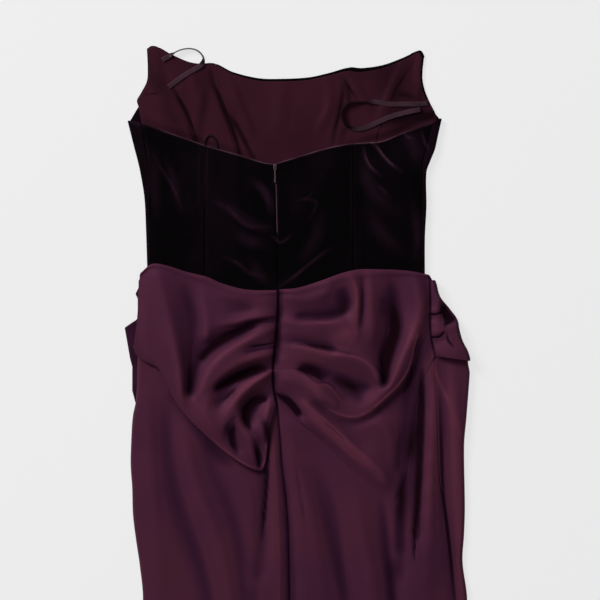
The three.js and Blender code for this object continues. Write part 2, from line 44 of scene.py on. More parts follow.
studio = {
    "lookAt": (3.4, 319.0, 8.0),  # middle of the view, on top of the cloth
    "cameraHeight": 4000.0,
    "viewWidth": 780.0,
    "floorSize": 12000.0,
    "floorDrop": 0.3,  # keeps the floor's face clear of the cloth's
    "floorTone": 0.18,
    "floorGlow": 0.713,
    "roomLight": 0.16,
    "keyPlace": (-2640.0, 2849.0, 2715.0),
    "keyPower": 172.0,
    "keySize": 2080.0,
    "fillPlace": (300.0, 300.0, 3200.0),
    "fillPower": 5.0,
    "fillSize": 1500.0,
}


def aim(obj, place, target):
    obj.location = Vector(place) * mm
    obj.rotation_euler = (Vector(target) * mm - obj.location).to_track_quat("-Z", "Y").to_euler()


def addAreaLight(name, place, power, size):
    lamp = bpy.data.lights.new(name, "AREA")
    lamp.shape = "DISK"
    lamp.size = size * mm
    lamp.energy = power
    obj = bpy.data.objects.new(name, lamp)
    scene.collection.objects.link(obj)
    aim(obj, place, studio["lookAt"])


def makeStudio():
    lens = bpy.data.cameras.new("camera")
    lens.sensor_width = 36.0
    x, y, z = studio["lookAt"]
    lens.lens = lens.sensor_width * studio["cameraHeight"] / studio["viewWidth"]
    lens.clip_end = 50.0
    camera = bpy.data.objects.new("camera", lens)
    scene.collection.objects.link(camera)
    camera.location = Vector((x, y, z + studio["cameraHeight"])) * mm
    scene.camera = camera
    addAreaLight("keyLight", studio["keyPlace"], studio["keyPower"], studio["keySize"])
    addAreaLight("fillLight", studio["fillPlace"], studio["fillPower"], studio["fillSize"])
    white = (1.0, 1.0, 1.0, 1.0)
    world = bpy.data.worlds.new("room")
    world.use_nodes = True
    backdrop = world.node_tree.nodes["Background"]
    backdrop.inputs["Color"].default_value = white
    backdrop.inputs["Strength"].default_value = studio["roomLight"]
    scene.world = world
    scene.view_settings.view_transform = "Standard"

    floorPlace = (0.0, 0.0, -studio["floorDrop"] * mm)
    bpy.ops.mesh.primitive_plane_add(size=studio["floorSize"] * mm, location=floorPlace)
    floor = bpy.context.object
    floor.name = "floor"
    paper = bpy.data.materials.new("floorPaper")
    paper.use_nodes = True
    shader = paper.node_tree.nodes["Principled BSDF"]
    shader.inputs["Base Color"].default_value = (*[studio["floorTone"]] * 3, 1.0)
    shader.inputs["Roughness"].default_value = 0.9
    shader.inputs["Specular IOR Level"].default_value = 0.0
    shader.inputs["Emission Color"].default_value = white
    shader.inputs["Emission Strength"].default_value = studio["floorGlow"]
    floor.data.materials.append(paper)


makeStudio()
print("studio ready")


# curves and patches

def soft(t):
    return t * t * (3 - 2 * t)


def ramp(value, low, high):
    return soft(np.clip((value - low) / (high - low), 0, 1))


def smoothCurve(rows):
    # a smooth value through rows of (position, value)
    knots = np.array(sorted(rows), float)
    at, value = knots[:, 0], knots[:, 1]
    before = np.maximum(np.arange(len(at)) - 1, 0)
    after = np.minimum(np.arange(len(at)) + 1, len(at) - 1)
    slope = (value[after] - value[before]) / (at[after] - at[before])

    def curve(q):
        q = np.clip(q, at[0], at[-1])
        i = np.clip(np.searchsorted(at, q) - 1, 0, len(at) - 2)
        span = at[i + 1] - at[i]
        s = (q - at[i]) / span
        rise = s * s * (3 - 2 * s)
        bend = slope[i] * span * s * (1 - s) ** 2 - slope[i + 1] * span * s * s * (1 - s)
        return value[i] * (1 - rise) + value[i + 1] * rise + bend

    return curve


def rim(rows):  # rows of x, y
    return smoothCurve(rows)


def seam(rows):  # rows of y, x
    return smoothCurve(rows)


def softLine(points, steps):
    # points along a centripetal Catmull-Rom line, evenly spaced
    p = np.array(points, float)
    ends = np.vstack([2 * p[0] - p[1], p, 2 * p[-1] - p[-2]])
    line = []
    for k in range(len(p) - 1):
        a, b, c, d = ends[k:k + 4]
        t0, t1 = 0.0, np.linalg.norm(b - a) ** 0.5
        t2 = t1 + np.linalg.norm(c - b) ** 0.5
        t3 = t2 + np.linalg.norm(d - c) ** 0.5
        t = np.linspace(t1, t2, 16, endpoint=False)[:, None]
        ab = a * (t1 - t) / (t1 - t0) + b * (t - t0) / (t1 - t0)
        bc = b * (t2 - t) / (t2 - t1) + c * (t - t1) / (t2 - t1)
        cd = c * (t3 - t) / (t3 - t2) + d * (t - t2) / (t3 - t2)
        abc = ab * (t2 - t) / (t2 - t0) + bc * (t - t0) / (t2 - t0)
        bcd = bc * (t3 - t) / (t3 - t1) + cd * (t - t1) / (t3 - t1)
        line.append(abc * (t2 - t) / (t2 - t1) + bcd * (t - t1) / (t2 - t1))
    line = np.vstack(line + [p[-1:]])
    run = np.concatenate([[0], np.cumsum(np.linalg.norm(np.diff(line, axis=0), axis=1))])
    even = np.linspace(0, run[-1], steps)
    return np.stack([np.interp(even, run, line[:, i]) for i in range(p.shape[1])], axis=1)


def downSeam(xOf, top, bottom, aside=0.0):
    def edge(t):
        y = top + (bottom - top) * t
        return np.stack([xOf(y) + aside, y], axis=-1)
    return edge


def acrossRim(yOf, start, end, lower=0.0):
    def edge(t):
        x = start + (end - start) * t
        return np.stack([x, yOf(x) - lower], axis=-1)
    return edge


def straight(y):
    return lambda x: np.full_like(np.asarray(x, float), y)


def route(points):
    line = softLine(points, 400)

    def edge(t):
        k = np.asarray(t, float) * (len(line) - 1)
        return np.stack([np.interp(k, np.arange(len(line)), line[:, i]) for i in range(2)], axis=-1)
    return edge


def patch(top, bottom, left, right):
    # points between four edges; the side edges fix the corners
    corner = {"tl": left(0.0), "bl": left(1.0), "tr": right(0.0), "br": right(1.0)}

    def tied(edge, start, end, u):
        a, b = edge(np.array(0.0)), edge(np.array(1.0))
        return edge(u) + (1 - u)[:, None] * (start - a) + u[:, None] * (end - b)

    def points(u, v):
        upper = tied(top, corner["tl"], corner["tr"], u)[None]
        lower = tied(bottom, corner["bl"], corner["br"], u)[None]
        sideL, sideR = left(v)[:, None], right(v)[:, None]
        u, v = u[None, :, None], v[:, None, None]
        square = (1 - u) * ((1 - v) * corner["tl"] + v * corner["bl"])
        square = square + u * ((1 - v) * corner["tr"] + v * corner["br"])
        return (1 - v) * upper + v * lower + (1 - u) * sideL + u * sideR - square
    return points


def between(left, right):
    def points(u, v):
        a, b = left(v)[:, None], right(v)[:, None]
        return a + (b - a) * u[None, :, None]
    return points


# folds

# A fold is a soft ridge or trough along a line. Columns: rise, width on its left side, width on
# its right side, crispness from 0 (round) to 1 (creased), share of the rise at its head and
# tail, and its line from head to tail.
foldShape = {
    "creasePower": 1.25,
    "taper": 0.35,  # part of its length over which a fold comes up at its head and dies at its tail
}


def nearestOn(line, x, y):
    # distance to a line, how far along it that is, and whether the place lies on its left
    best = np.full(x.shape, 1e9)
    along = np.zeros(x.shape)
    isLeft = np.zeros(x.shape, bool)
    for k in range(len(line) - 1):
        ax, ay = line[k]
        dx, dy = line[k + 1] - line[k]
        share = np.clip(((x - ax) * dx + (y - ay) * dy) / (dx * dx + dy * dy), 0, 1)
        ox, oy = x - ax - share * dx, y - ay - share * dy
        distance = np.hypot(ox, oy)
        closer = distance < best
        best = np.where(closer, distance, best)
        along = np.where(closer, (k + share) / (len(line) - 1), along)
        isLeft = np.where(closer, dx * oy - dy * ox > 0, isLeft)
    return best, along, isLeft


def foldField(folds, x, y):
    height = np.zeros_like(x)
    for rise, leftWidth, rightWidth, crisp, head, tail, points in folds:
        line = softLine(points, 8 * len(points))
        reach = max(leftWidth, rightWidth)
        low, high = line.min(0) - reach, line.max(0) + reach
        near = (x > low[0]) & (x < high[0]) & (y > low[1]) & (y < high[1])
        if not near.any():
            continue
        distance, along, isLeft = nearestOn(line, x[near], y[near])
        q = np.clip(1 - distance / np.where(isLeft, leftWidth, rightWidth), 0, 1)
        across = (1 - crisp) * soft(q) + crisp * q ** foldShape["creasePower"]
        start = head + (1 - head) * soft(np.clip(along / foldShape["taper"], 0, 1))
        finish = tail + (1 - tail) * soft(np.clip((1 - along) / foldShape["taper"], 0, 1))
        height[near] += rise * across * start * finish
    return height


def ripple(x, y, amount, length, seed):
    # soft uneven swell, the same each run
    pick = np.random.default_rng(seed)
    total = np.zeros_like(x)
    waves = 7
    for _ in range(waves):
        angle, phase, size = pick.uniform(0, math.tau), pick.uniform(0, math.tau), pick.uniform(0.6, 1.7)
        k = math.tau / (length * size)
        total += np.sin(k * (x * math.cos(angle) + y * math.sin(angle)) + phase)
    return amount * total / 3.0


def settle(total, count):
    # a net pulled tight between its held cells, worked out coarse first
    coarsest, passes = 12, 160
    if min(total.shape) > coarsest:
        padded = [np.pad(a, ((0, a.shape[0] % 2), (0, a.shape[1] % 2))) for a in (total, count)]
        halves = [a[::2, ::2] + a[1::2, ::2] + a[::2, 1::2] + a[1::2, 1::2] for a in padded]
        height = np.repeat(np.repeat(settle(*halves), 2, 0), 2, 1)[:total.shape[0], :total.shape[1]]
    else:
        height = np.full(total.shape, total.sum() / count.sum())
    held = count > 0
    target = total / np.maximum(count, 1)
    for _ in range(passes):
        around = np.pad(height, 1, mode="edge")
        height = (around[:-2, 1:-1] + around[2:, 1:-1] + around[1:-1, :-2] + around[1:-1, 2:]) / 4
        height = np.where(held, target, height)
    return height


def softened(height, passes):
    for _ in range(passes):
        around = np.pad(height, 1, mode="edge")
        height = (around[:-2] + 2 * around[1:-1] + around[2:]) / 4
        height = (height[:, :-2] + 2 * height[:, 1:-1] + height[:, 2:]) / 4
    return height


class Drape:
    # cloth height stretched over lines of x, y, height: crests, valleys and edges

    def __init__(self, lines, box, cell, passes, wide):
        self.left, self.low, right, high = box
        self.cell = cell
        shape = (int((high - self.low) / cell) + 1, int((right - self.left) / cell) + 1)
        total, count = np.zeros(shape), np.zeros(shape)
        for points in lines:
            line = softLine(points, 90 * len(points))
            i = np.clip(np.rint((line[:, 1] - self.low) / cell).astype(int), 0, shape[0] - 1)
            j = np.clip(np.rint((line[:, 0] - self.left) / cell).astype(int), 0, shape[1] - 1)
            np.add.at(total, (i, j), line[:, 2])
            np.add.at(count, (i, j), 1)
        self.height = softened(settle(total, count), passes)
        near, far = softened(self.height, wide), softened(self.height, 4 * wide)
        # how far each place lies below the cloth close by and further round it; hollow turns this into
        # painted shade in hollows and painted highlight on crests
        self.depth = np.maximum(near, 0.4 * near + 0.6 * far) - self.height

    def sample(self, values, x, y):
        i = np.clip((y - self.low) / self.cell, 0, values.shape[0] - 1.001)
        j = np.clip((x - self.left) / self.cell, 0, values.shape[1] - 1.001)
        row, column = i.astype(int), j.astype(int)
        i, j = i - row, j - column
        near = values[row, column] * (1 - j) + values[row, column + 1] * j
        far = values[row + 1, column] * (1 - j) + values[row + 1, column + 1] * j
        return near * (1 - i) + far * i

    def at(self, x, y):
        return self.sample(self.height, x, y)

    def hollow(self, x, y, full):
        # painted shade where the cloth lies below its surroundings, painted highlight (below 0) where it
        # stands above them
        return np.clip(self.sample(self.depth, x, y) / full, -1, 1)


# shells

def drawnIn(outer, room):
    # moves the edges of a grid inward by room, and its next rows by less and less
    moved = outer.copy()
    for turned, flipped in ((False, False), (False, True), (True, False), (True, True)):
        grid = outer.transpose(1, 0, 2) if turned else outer
        grid = grid[:, ::-1] if flipped else grid
        steps = np.diff(grid, axis=1)
        run = np.cumsum(np.linalg.norm(steps, axis=2), axis=1)
        run = np.hstack([np.zeros((len(run), 1)), run])
        inward = steps[:, :1] / np.maximum(np.linalg.norm(steps[:, :1], axis=2, keepdims=True), 1e-9)
        shift = room * inward * np.clip(1 - run / (4 * room), 0, 1)[:, :, None]
        shift = shift[:, ::-1] if flipped else shift
        moved += shift.transpose(1, 0, 2) if turned else shift
    return moved


def shellMesh(name, outer, wall, hollow=None):
    # a cloth wall under a grid of outer points, with a round rim
    rows, columns = outer.shape[:2]
    outer = outer.copy()
    half = wall / 2

    def normals(p):
        along, down = np.gradient(p, axis=1), np.gradient(p, axis=0)
        n = np.cross(along, -down)
        return n / np.maximum(np.linalg.norm(n, axis=2, keepdims=True), 1e-9)

    loop = [(0, j) for j in range(columns)] + [(i, columns - 1) for i in range(1, rows)]
    loop += [(rows - 1, j) for j in range(columns - 2, -1, -1)] + [(i, 0) for i in range(rows - 2, 0, -1)]
    loopI, loopJ = np.array(loop).T
    out = np.zeros((len(loop), 3))
    for side, (di, dj) in {"i0": (1, 0), "i1": (-1, 0), "j0": (0, 1), "j1": (0, -1)}.items():
        at = {"i0": loopI == 0, "i1": loopI == rows - 1,
              "j0": loopJ == 0, "j1": loopJ == columns - 1}[side]
        step = outer[loopI[at], loopJ[at]] - outer[loopI[at] + di, loopJ[at] + dj]
        out[at] += step / np.maximum(np.linalg.norm(step, axis=1, keepdims=True), 1e-9)
    out /= np.maximum(np.linalg.norm(out, axis=1, keepdims=True), 1e-9)
    outer = drawnIn(outer, half)
    n = normals(outer)
    inner = outer - n * wall
    edgeN = n[loopI, loopJ]
    out -= edgeN * (out * edgeN).sum(1, keepdims=True)
    out /= np.maximum(np.linalg.norm(out, axis=1, keepdims=True), 1e-9)
    middle = outer[loopI, loopJ] - edgeN * half
    rings = [middle + half * (edgeN * math.cos(a) + out * math.sin(a))
             for a in (math.pi * 0.22, math.pi * 0.5, math.pi * 0.78)]

    count = rows * columns
    points = np.vstack([outer.reshape(-1, 3), inner.reshape(-1, 3)] + rings) * mm
    i, j = np.meshgrid(np.arange(rows - 1), np.arange(columns - 1), indexing="ij")
    a, b = (i * columns + j).ravel(), ((i + 1) * columns + j).ravel()
    top = np.stack([a, b, b + 1, a + 1], axis=1)
    bottom = np.stack([a, a + 1, b + 1, b], axis=1) + count
    steps = [loopI * columns + loopJ]
    steps += [2 * count + k * len(loop) + np.arange(len(loop)) for k in range(3)]
    steps += [count + loopI * columns + loopJ]
    bands = []
    for near, far in zip(steps[:-1], steps[1:]):
        bands.append(np.stack([near, np.roll(near, -1), np.roll(far, -1), far], axis=1))
    faces = np.vstack([top, bottom] + bands)
    mesh = bpy.data.meshes.new(name)
    mesh.vertices.add(len(points))
    mesh.vertices.foreach_set("co", points.astype(np.float32).ravel())
    mesh.loops.add(faces.size)
    mesh.loops.foreach_set("vertex_index", faces.astype(np.int32).ravel())
    mesh.polygons.add(len(faces))
    mesh.polygons.foreach_set("loop_start", np.arange(0, faces.size, 4, dtype=np.int32))
    mesh.update(calc_edges=True)
    mesh.validate()
    mesh.shade_smooth()
    # the hollow attribute carries painted shade and highlight for the satin and lining, and painted sheen
    # and highlight for the velvet
    if hollow is not None:
        flat = hollow.ravel()
        values = np.concatenate([flat, flat] + [hollow[loopI, loopJ]] * 3)
        layer = mesh.attributes.new("hollow", "FLOAT", "POINT")
        layer.data.foreach_set("value", values.astype(np.float32))
    return mesh


def flatSize(points):
    # width, length and area of a grid of points, in metres
    steps = np.diff(points, axis=1)
    width = np.linalg.norm(steps, axis=2).sum(1).max()
    length = np.linalg.norm(np.diff(points, axis=0), axis=2).sum(0).max()
    u, v = steps[:-1], np.diff(points, axis=0)[:, :-1]
    area = np.linalg.norm(np.cross(u, v), axis=2).sum()
    return width * mm, length * mm, min(area * mm * mm, width * length * mm * mm)


def addCloth(name, node, slotName, points, wall, material, hollow=None):
    obj = bpy.data.objects.new(name, shellMesh(name, points, wall, hollow))
    scene.collection.objects.link(obj)
    obj.data.materials.append(material)
    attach(obj, "gown")
    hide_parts(node)
    width, length, area = flatSize(points)
    # a sheet is taken as no less than about 10 mm wide, and its area as no less than this share of its box
    leastShare = 0.301
    area = max(area, leastShare * width * length)
    max(width, 0.0101)
    max(length, 0.0101)


def camel(node):
    first, *rest = node.split("_")
    return first + "".join(word.title() for word in rest)


def shares(count):
    return np.linspace(0.0, 1.0, count + 1)


# materials

def linear(r, g, b):
    tone = np.array([r, g, b]) / 255.0
    return (*np.where(tone <= 0.04045, tone / 12.92, ((tone + 0.055) / 1.055) ** 2.4), 1.0)


class Nodes:
    # a short way to build a node tree
    def __init__(self, name):
        self.material = bpy.data.materials.new(name)
        self.material.use_nodes = True
        self.tree = self.material.node_tree
        self.shader = self.tree.nodes["Principled BSDF"]
        self.place = self.add("ShaderNodeTexCoord").outputs["Object"]

    def add(self, kind, **values):
        node = self.tree.nodes.new(kind)
        for key, value in values.items():
            setattr(node, key, value)
        return node

    def link(self, source, target):
        self.tree.links.new(source, target)

    def noise(self, scale, detail=2.0, rough=0.5, stretch=(1, 1, 1)):
        mapping = self.add("ShaderNodeMapping")
        mapping.inputs["Scale"].default_value = stretch
        self.link(self.place, mapping.inputs["Vector"])
        node = self.add("ShaderNodeTexNoise")
        node.inputs["Scale"].default_value = scale
        node.inputs["Detail"].default_value = detail
        node.inputs["Roughness"].default_value = rough
        self.link(mapping.outputs["Vector"], node.inputs["Vector"])
        return node.outputs["Fac"]

    def ramp(self, source, low, high, start=0.0, end=1.0):
        node = self.add("ShaderNodeMapRange")
        node.inputs["From Min"].default_value = low
        node.inputs["From Max"].default_value = high
        node.inputs["To Min"].default_value = start
        node.inputs["To Max"].default_value = end
        self.link(source, node.inputs["Value"])
        return node.outputs["Result"]

    def mix(self, share, a, b):
        node = self.add("ShaderNodeMix", data_type="RGBA")
        for value, index in ((a, 6), (b, 7)):
            if isinstance(value, tuple):
                node.inputs[index].default_value = value
            else:
                self.link(value, node.inputs[index])
        self.link(share, node.inputs[0])
        return node.outputs[2]

    def attribute(self, name):
        return self.add("ShaderNodeAttribute", attribute_name=name).outputs["Fac"]

    def math(self, operation, a, b):
        node = self.add("ShaderNodeMath", operation=operation)
        for value, index in ((a, 0), (b, 1)):
            if isinstance(value, (int, float)):
                node.inputs[index].default_value = value
            else:
                self.link(value, node.inputs[index])
        return node.outputs[0]

    def bump(self, source, depth, strength=1.0, before=None):
        node = self.add("ShaderNodeBump")
        node.inputs["Strength"].default_value = strength
        node.inputs["Distance"].default_value = depth
        self.link(source, node.inputs["Height"])
        if before is not None:
            self.link(before, node.inputs["Normal"])
        return node.outputs["Normal"]

    def set(self, **values):
        for key, value in values.items():
            socket = self.shader.inputs[key.replace("_", " ")]
            if hasattr(value, "is_output"):
                self.link(value, socket)
            else:
                socket.default_value = value


# deep is a painted shade colour for the folds' hollows, crest a painted highlight colour for their crests,
# and violet both a random tone and a painted shade in the hollows
satinLook = {
    "face": linear(74, 35, 52),
    "violet": linear(54, 26, 54),
    "deep": linear(13, 2, 8),
    "crest": linear(97, 47, 64),
    "shine": linear(235, 135, 175),
    "sheen": linear(190, 120, 165),
    "roughness": 0.6,
    "hollowRoughness": 0.34,  # added in the deepest hollows
    "weave": (2600, 900, 900),
    "slub": (420, 60, 60),
    "weaveDepth": 0.00006,
}


def satinMaterial():
    n = Nodes("wineSatin")
    drift = n.ramp(n.noise(9.0, 2.0), 0.40, 0.66, 0.0, 0.45)
    # the hollow attribute is painted shade above 0 and painted highlight below 0
    foldShadeAndHighlight = n.attribute("hollow")
    # violet comes in as random drift and, in the hollows, as painted shade
    violetDriftAndShade = n.math("MAXIMUM", drift, n.ramp(foldShadeAndHighlight, 0.0, 0.5, 0.0, 0.8))
    colour = n.mix(violetDriftAndShade, satinLook["face"], satinLook["violet"])
    # painted highlight on the crests
    colour = n.mix(n.ramp(foldShadeAndHighlight, -0.1, -0.9, 0.0, 0.8), colour, satinLook["crest"])
    # painted shade in the hollows
    colour = n.mix(n.ramp(foldShadeAndHighlight, 0.1, 1.0), colour, satinLook["deep"])
    weave = n.noise(1.0, 1.0, 0.5, satinLook["weave"])
    slub = n.noise(1.0, 2.0, 0.5, satinLook["slub"])
    normal = n.bump(weave, satinLook["weaveDepth"], 0.5)
    normal = n.bump(slub, satinLook["weaveDepth"], 0.6, normal)
    rough = satinLook["roughness"]
    uneven = n.ramp(n.noise(26.0, 3.0), 0.3, 0.7, rough - 0.04, rough + 0.06)
    dulled = n.math("ADD", uneven, n.ramp(foldShadeAndHighlight, 0.3, 1.0, 0.0, satinLook["hollowRoughness"]))
    n.set(Base_Color=colour, Normal=normal, Roughness=dulled)
    n.set(Specular_IOR_Level=0.3, Specular_Tint=satinLook["shine"], Sheen_Weight=0.03,
          Sheen_Roughness=0.4, Sheen_Tint=satinLook["sheen"])
    return n.material


liningLook = {
    "face": linear(60, 26, 37), "shade": linear(50, 20, 32), "deep": linear(16, 5, 11),
    "shine": linear(230, 150, 170), "sheen": linear(170, 110, 130),
    "roughness": 0.5, "weave": (1800, 1800, 600), "weaveDepth": 0.00004,
}


def liningMaterial():
    n = Nodes("burgundyLining")
    drift = n.ramp(n.noise(9.0, 2.0), 0.35, 0.65)
    colour = n.mix(drift, liningLook["face"], liningLook["shade"])
    # painted shade in the lining's folds and along its seams, from the hollow attribute
    colour = n.mix(n.ramp(n.attribute("hollow"), 0.0, 1.0), colour, liningLook["deep"])
    weave = n.bump(n.noise(1.0, 1.0, 0.5, liningLook["weave"]), liningLook["weaveDepth"], 0.5)
    n.set(Base_Color=colour, Normal=weave, Roughness=liningLook["roughness"])
    n.set(Specular_IOR_Level=0.1, Specular_Tint=liningLook["shine"], Sheen_Weight=0.02,
          Sheen_Roughness=0.4, Sheen_Tint=liningLook["sheen"])
    return n.material


# the lighter plum colour is for random brushed patches and painted sheen; edge is the pale painted highlight
# of the top edge, the zip and the strongest creases
velvetLook = {
    "pile": linear(4, 2, 4), "napUp": linear(40, 20, 34), "edge": linear(86, 60, 69),
    "sheen": linear(130, 84, 108), "roughness": 0.85, "pileDepth": 0.00025,
}


def velvetMaterial():
    n = Nodes("blackVelvet")
    brushed = n.ramp(n.noise(11.0, 3.0, 0.6, (1, 0.5, 1)), 0.48, 0.80, 0.0, 0.30)
    patchy = n.ramp(n.noise(55.0, 4.0, 0.6, (1, 0.6, 1)), 0.3, 0.7, 0.5, 1.2)
    # the hollow attribute carries painted sheen on the creases and painted highlights along the top edge and
    # the zip
    napToneAndSheen = n.math("ADD", brushed, n.math("MULTIPLY", n.attribute("hollow"), patchy))
    pile = n.noise(1400.0, 1.0)
    colour = n.mix(n.ramp(napToneAndSheen, 0.0, 1.0), velvetLook["pile"], velvetLook["napUp"])
    # painted highlight toward the pale edge colour where hollow is above 1
    colour = n.mix(n.ramp(n.attribute("hollow"), 1.0, 2.0), colour, velvetLook["edge"])
    n.set(Base_Color=colour, Normal=n.bump(pile, velvetLook["pileDepth"], 0.6),
          Roughness=velvetLook["roughness"])
    n.set(Specular_IOR_Level=0.04, Sheen_Weight=0.07, Sheen_Roughness=0.3, Sheen_Tint=velvetLook["sheen"])
    return n.material


satin = satinMaterial()
lining = liningMaterial()
velvet = velvetMaterial()
print("cloth finishes ready")


# the gown's own sizes

cloth = {
    "velvet": 2.0, "satin": 1.5, "lining": 1.0,  # wall of each, with its backing
    "gap": 0.3, "waistGap": 0.8, "liningInset": 1.5,
    "liningLow": 440.0, "waist": 345.0, "overlayHem": 185.0, "hem": -650.0,  # where each ends, in y
    "bodiceAir": 3.0, "skirtAir": 2.7,
    "bodiceFold": 3.0, "skirtFold": 4.5,  # radius of the turned sides
    "overlayRest": 0.8, "wrapRoom": 1.5,
}
halfGap = -0.15  # below zero: sewn edges lap a little, so that no light comes through

neckline = rim([(-196, 646), (-190, 650), (-180, 648), (-166, 640), (-144, 630), (-130, 627), (-107, 627),
                (-84, 616), (-51, 608), (-23, 607), (15, 609), (42, 615), (68, 622), (84, 621), (111, 625),
                (136, 634), (158, 644), (163, 642), (165, 636)])
backEdge = rim([(-203, 550), (-184, 543), (-144, 529), (-118, 520), (-76, 508), (-43, 498), (-29, 497),
                (-18, 500), (35, 516), (64, 522), (87, 524), (110, 526), (140, 538), (173, 549)])
backWaist = rim([(-197, 353), (-152, 346), (-116, 337), (-75, 322), (-28, 318), (3, 321), (44, 335),
                 (82, 345), (134, 345), (172, 341)])
armholeLeft = seam([(646, -196), (621, -195), (604, -196), (588, -204), (579, -209), (571, -207)])
armholeRight = seam([(636, 165), (609, 163), (592, 166), (579, 171)])
bodiceLeft = seam([(552, -221), (532, -216), (516, -212), (501, -208), (483, -204), (451, -199),
                   (410, -197), (345, -195)])
bodiceRight = seam([(555, 188), (533, 183), (515, 179), (500, 173), (485, 168), (441, 168), (400, 166),
                    (345, 166)])
underarmLeft = seam([(571, -207), (550, -203), (500, -193), (450, -184), (345, -180)])
underarmRight = seam([(579, 171), (552, 181), (500, 160), (450, 153), (345, 151)])
sideBackLeft = seam([(550, -203), (533, -201), (495, -195), (449, -192), (345, -191)])
sideBackRight = seam([(549, 176), (533, 172), (515, 168), (500, 164), (485, 163), (345, 162)])
princessLeft = seam([(520, -118), (434, -120), (330, -121)])
princessRight = seam([(522, 73), (434, 73), (330, 73)])
centreBack = seam([(497, -29), (408, -27), (331, -25), (296, -26), (274, -28), (243, -31), (227, -32),
                   (204, -31), (187, -27), (148, -23), (106, -20), (64, -15), (23, -12), (-71, -10),
                   (-650, -4)])
frontSeams = [
    seam([(648, -182), (626, -175), (594, -161), (539, -134), (495, -123), (449, -119), (345, -121)]),
    seam([(627, -107), (592, -99), (547, -89), (512, -81), (462, -75), (410, -71), (345, -71)]),
    seam([(622, 68), (605, 59), (555, 53), (521, 41), (475, 33), (423, 28), (345, 27)]),
    seam([(638, 148), (605, 136), (581, 119), (531, 105), (488, 94), (436, 89), (345, 88)]),
]
hipLeft = seam([(353, -197), (319, -205), (280, -207), (241, -208), (189, -210), (168, -214), (140, -216),
                (106, -217), (74, -215), (40, -214), (7, -210), (-27, -205), (-71, -201), (-300, -208),
                (-650, -217)])
hipRight = seam([(352, 175), (343, 180), (323, 186), (308, 198), (294, 208), (280, 211), (266, 215),
                 (252, 222), (240, 225), (219, 224), (167, 220), (131, 217), (49, 218), (15, 217),
                 (-21, 215), (-71, 221), (-300, 222), (-650, 224)])
sideSeam = seam([(352, 171), (315, 172), (280, 172), (266, 174), (246, 178), (110, 184), (81, 186),
                 (49, 191), (7, 196), (-71, 205), (-300, 209), (-650, 212)])
pleatEnds = [(344.7, -207), (335, -207), (327, -211), (321, -208), (306, -208), (294, -209), (283, -225),
             (272, -223), (255, -220), (243, -218), (232, -215), (201, -215), (185, -211)]
leftSwag = [(-213, 258), (-210, 249), (-198, 239), (-181, 230), (-165, 198), (-144, 168), (-117, 141),
            (-86, 115), (-58, 99), (-47, 98), (-43, 106), (-40, 129), (-36, 157), (-28.2, 187)]
rightSwag = [(-26.8, 187), (5, 159), (40, 128), (70, 100), (96, 78), (113, 60), (123, 54), (134, 68),
             (144, 100), (151, 150), (160, 205), (178, 246)]
leftOverlayTop = rim([(-204, 354), (-189, 366), (-169, 364), (-144, 356), (-116, 349), (-98, 341),
                      (-66, 333), (-25, 332)])
rightOverlayTop = rim([(-25, 333), (-1, 335), (26, 343), (60, 355), (80, 359), (110, 359), (135, 358),
                       (152, 356), (171, 352)])
leftOverlaySide = seam([(354, -204), (337, -206), (296, -208), (271, -211), (258, -213)])


def seamFoot(xOf):
    # where a seam meets the back's waist edge; a few rounds are enough to settle on it
    y = cloth["waist"]
    for _ in range(8):
        y = float(backWaist(xOf(y)))
    return y


# Outer faces of the layers, from the surface up.
liningTop = cloth["velvet"] + cloth["gap"] + cloth["lining"]
bodiceTop = liningTop + cloth["bodiceAir"] + cloth["velvet"]


def hipLift(y):
    return (cloth["satin"] + cloth["gap"]) * ramp(y, 118, 162)


def skirtBackTop(y):
    return hipLift(y) + 2 * cloth["satin"] + cloth["gap"] + cloth["skirtAir"]


def insideRightSwag(x, y):
    # distance inside the right swag's long edge, negative outside it
    low = np.interp(x, *np.array(rightSwag).T)
    distance, _, _ = nearestOn(softLine(rightSwag, 8 * len(rightSwag)), x, y)
    return np.where(y > low, 1.0, -1.0) * distance


def layCloth(name, node, slotName, shape, u, v, top, wall, material, hollow=None):
    # a piece lying in one layer; top gives its upper face from x, y and the place in the piece
    x, y = np.moveaxis(shape(u, v), 2, 0)
    acrossShare, downShare = np.meshgrid(u, v)
    z = top(x, y, acrossShare, downShare)
    shade = None if hollow is None else hollow(x, y, acrossShare, downShare)
    addCloth(name, node, slotName, np.dstack([x, y, z]), wall, material, shade)


def wrapCloth(name, node, slotName, wall, material, side, radius, upper, under, tops, columns, v,
              hollow, turnedShade=0.0):
    # a piece that lies on top, turns round one side of the gown and goes on underneath
    upperTop, underLow = tops
    onTop, turn, below = columns
    x, y = np.moveaxis(upper(shares(onTop), v), 2, 0)
    z = upperTop(x, y)
    foldX, foldY, foldZ = x[:, -1:], y[:, -1:], z[:, -1:]
    lowX, lowY = np.moveaxis(under(shares(below), v), 2, 0)
    lowZ = underLow(lowX, lowY)
    angle = np.pi * (0.5 - np.arange(1, turn) / turn)[None]
    turnX = foldX + side * radius * np.cos(angle)
    turnY = np.repeat(foldY, turn - 1, axis=1)
    middle, half = (foldZ + lowZ[:, :1]) / 2, (foldZ - lowZ[:, :1]) / 2
    turnZ = middle + half * np.sin(angle)
    strips = ((x, turnX, lowX), (y, turnY, lowY), (z, turnZ, lowZ))
    grid = np.dstack([np.hstack(strip) for strip in strips])
    # painted tone: turnedShade on the turned and underneath part, hollow on the upper part; painted shade on
    # the satin, painted sheen on the velvet
    shade = np.full(grid.shape[:2], turnedShade)
    shade[:, :onTop + 1] = hollow(x, y)
    if side < 0:
        grid, shade = grid[:, ::-1], shade[:, ::-1]
    addCloth(name, node, slotName, grid, wall, material, shade)


# front bodice and its lining

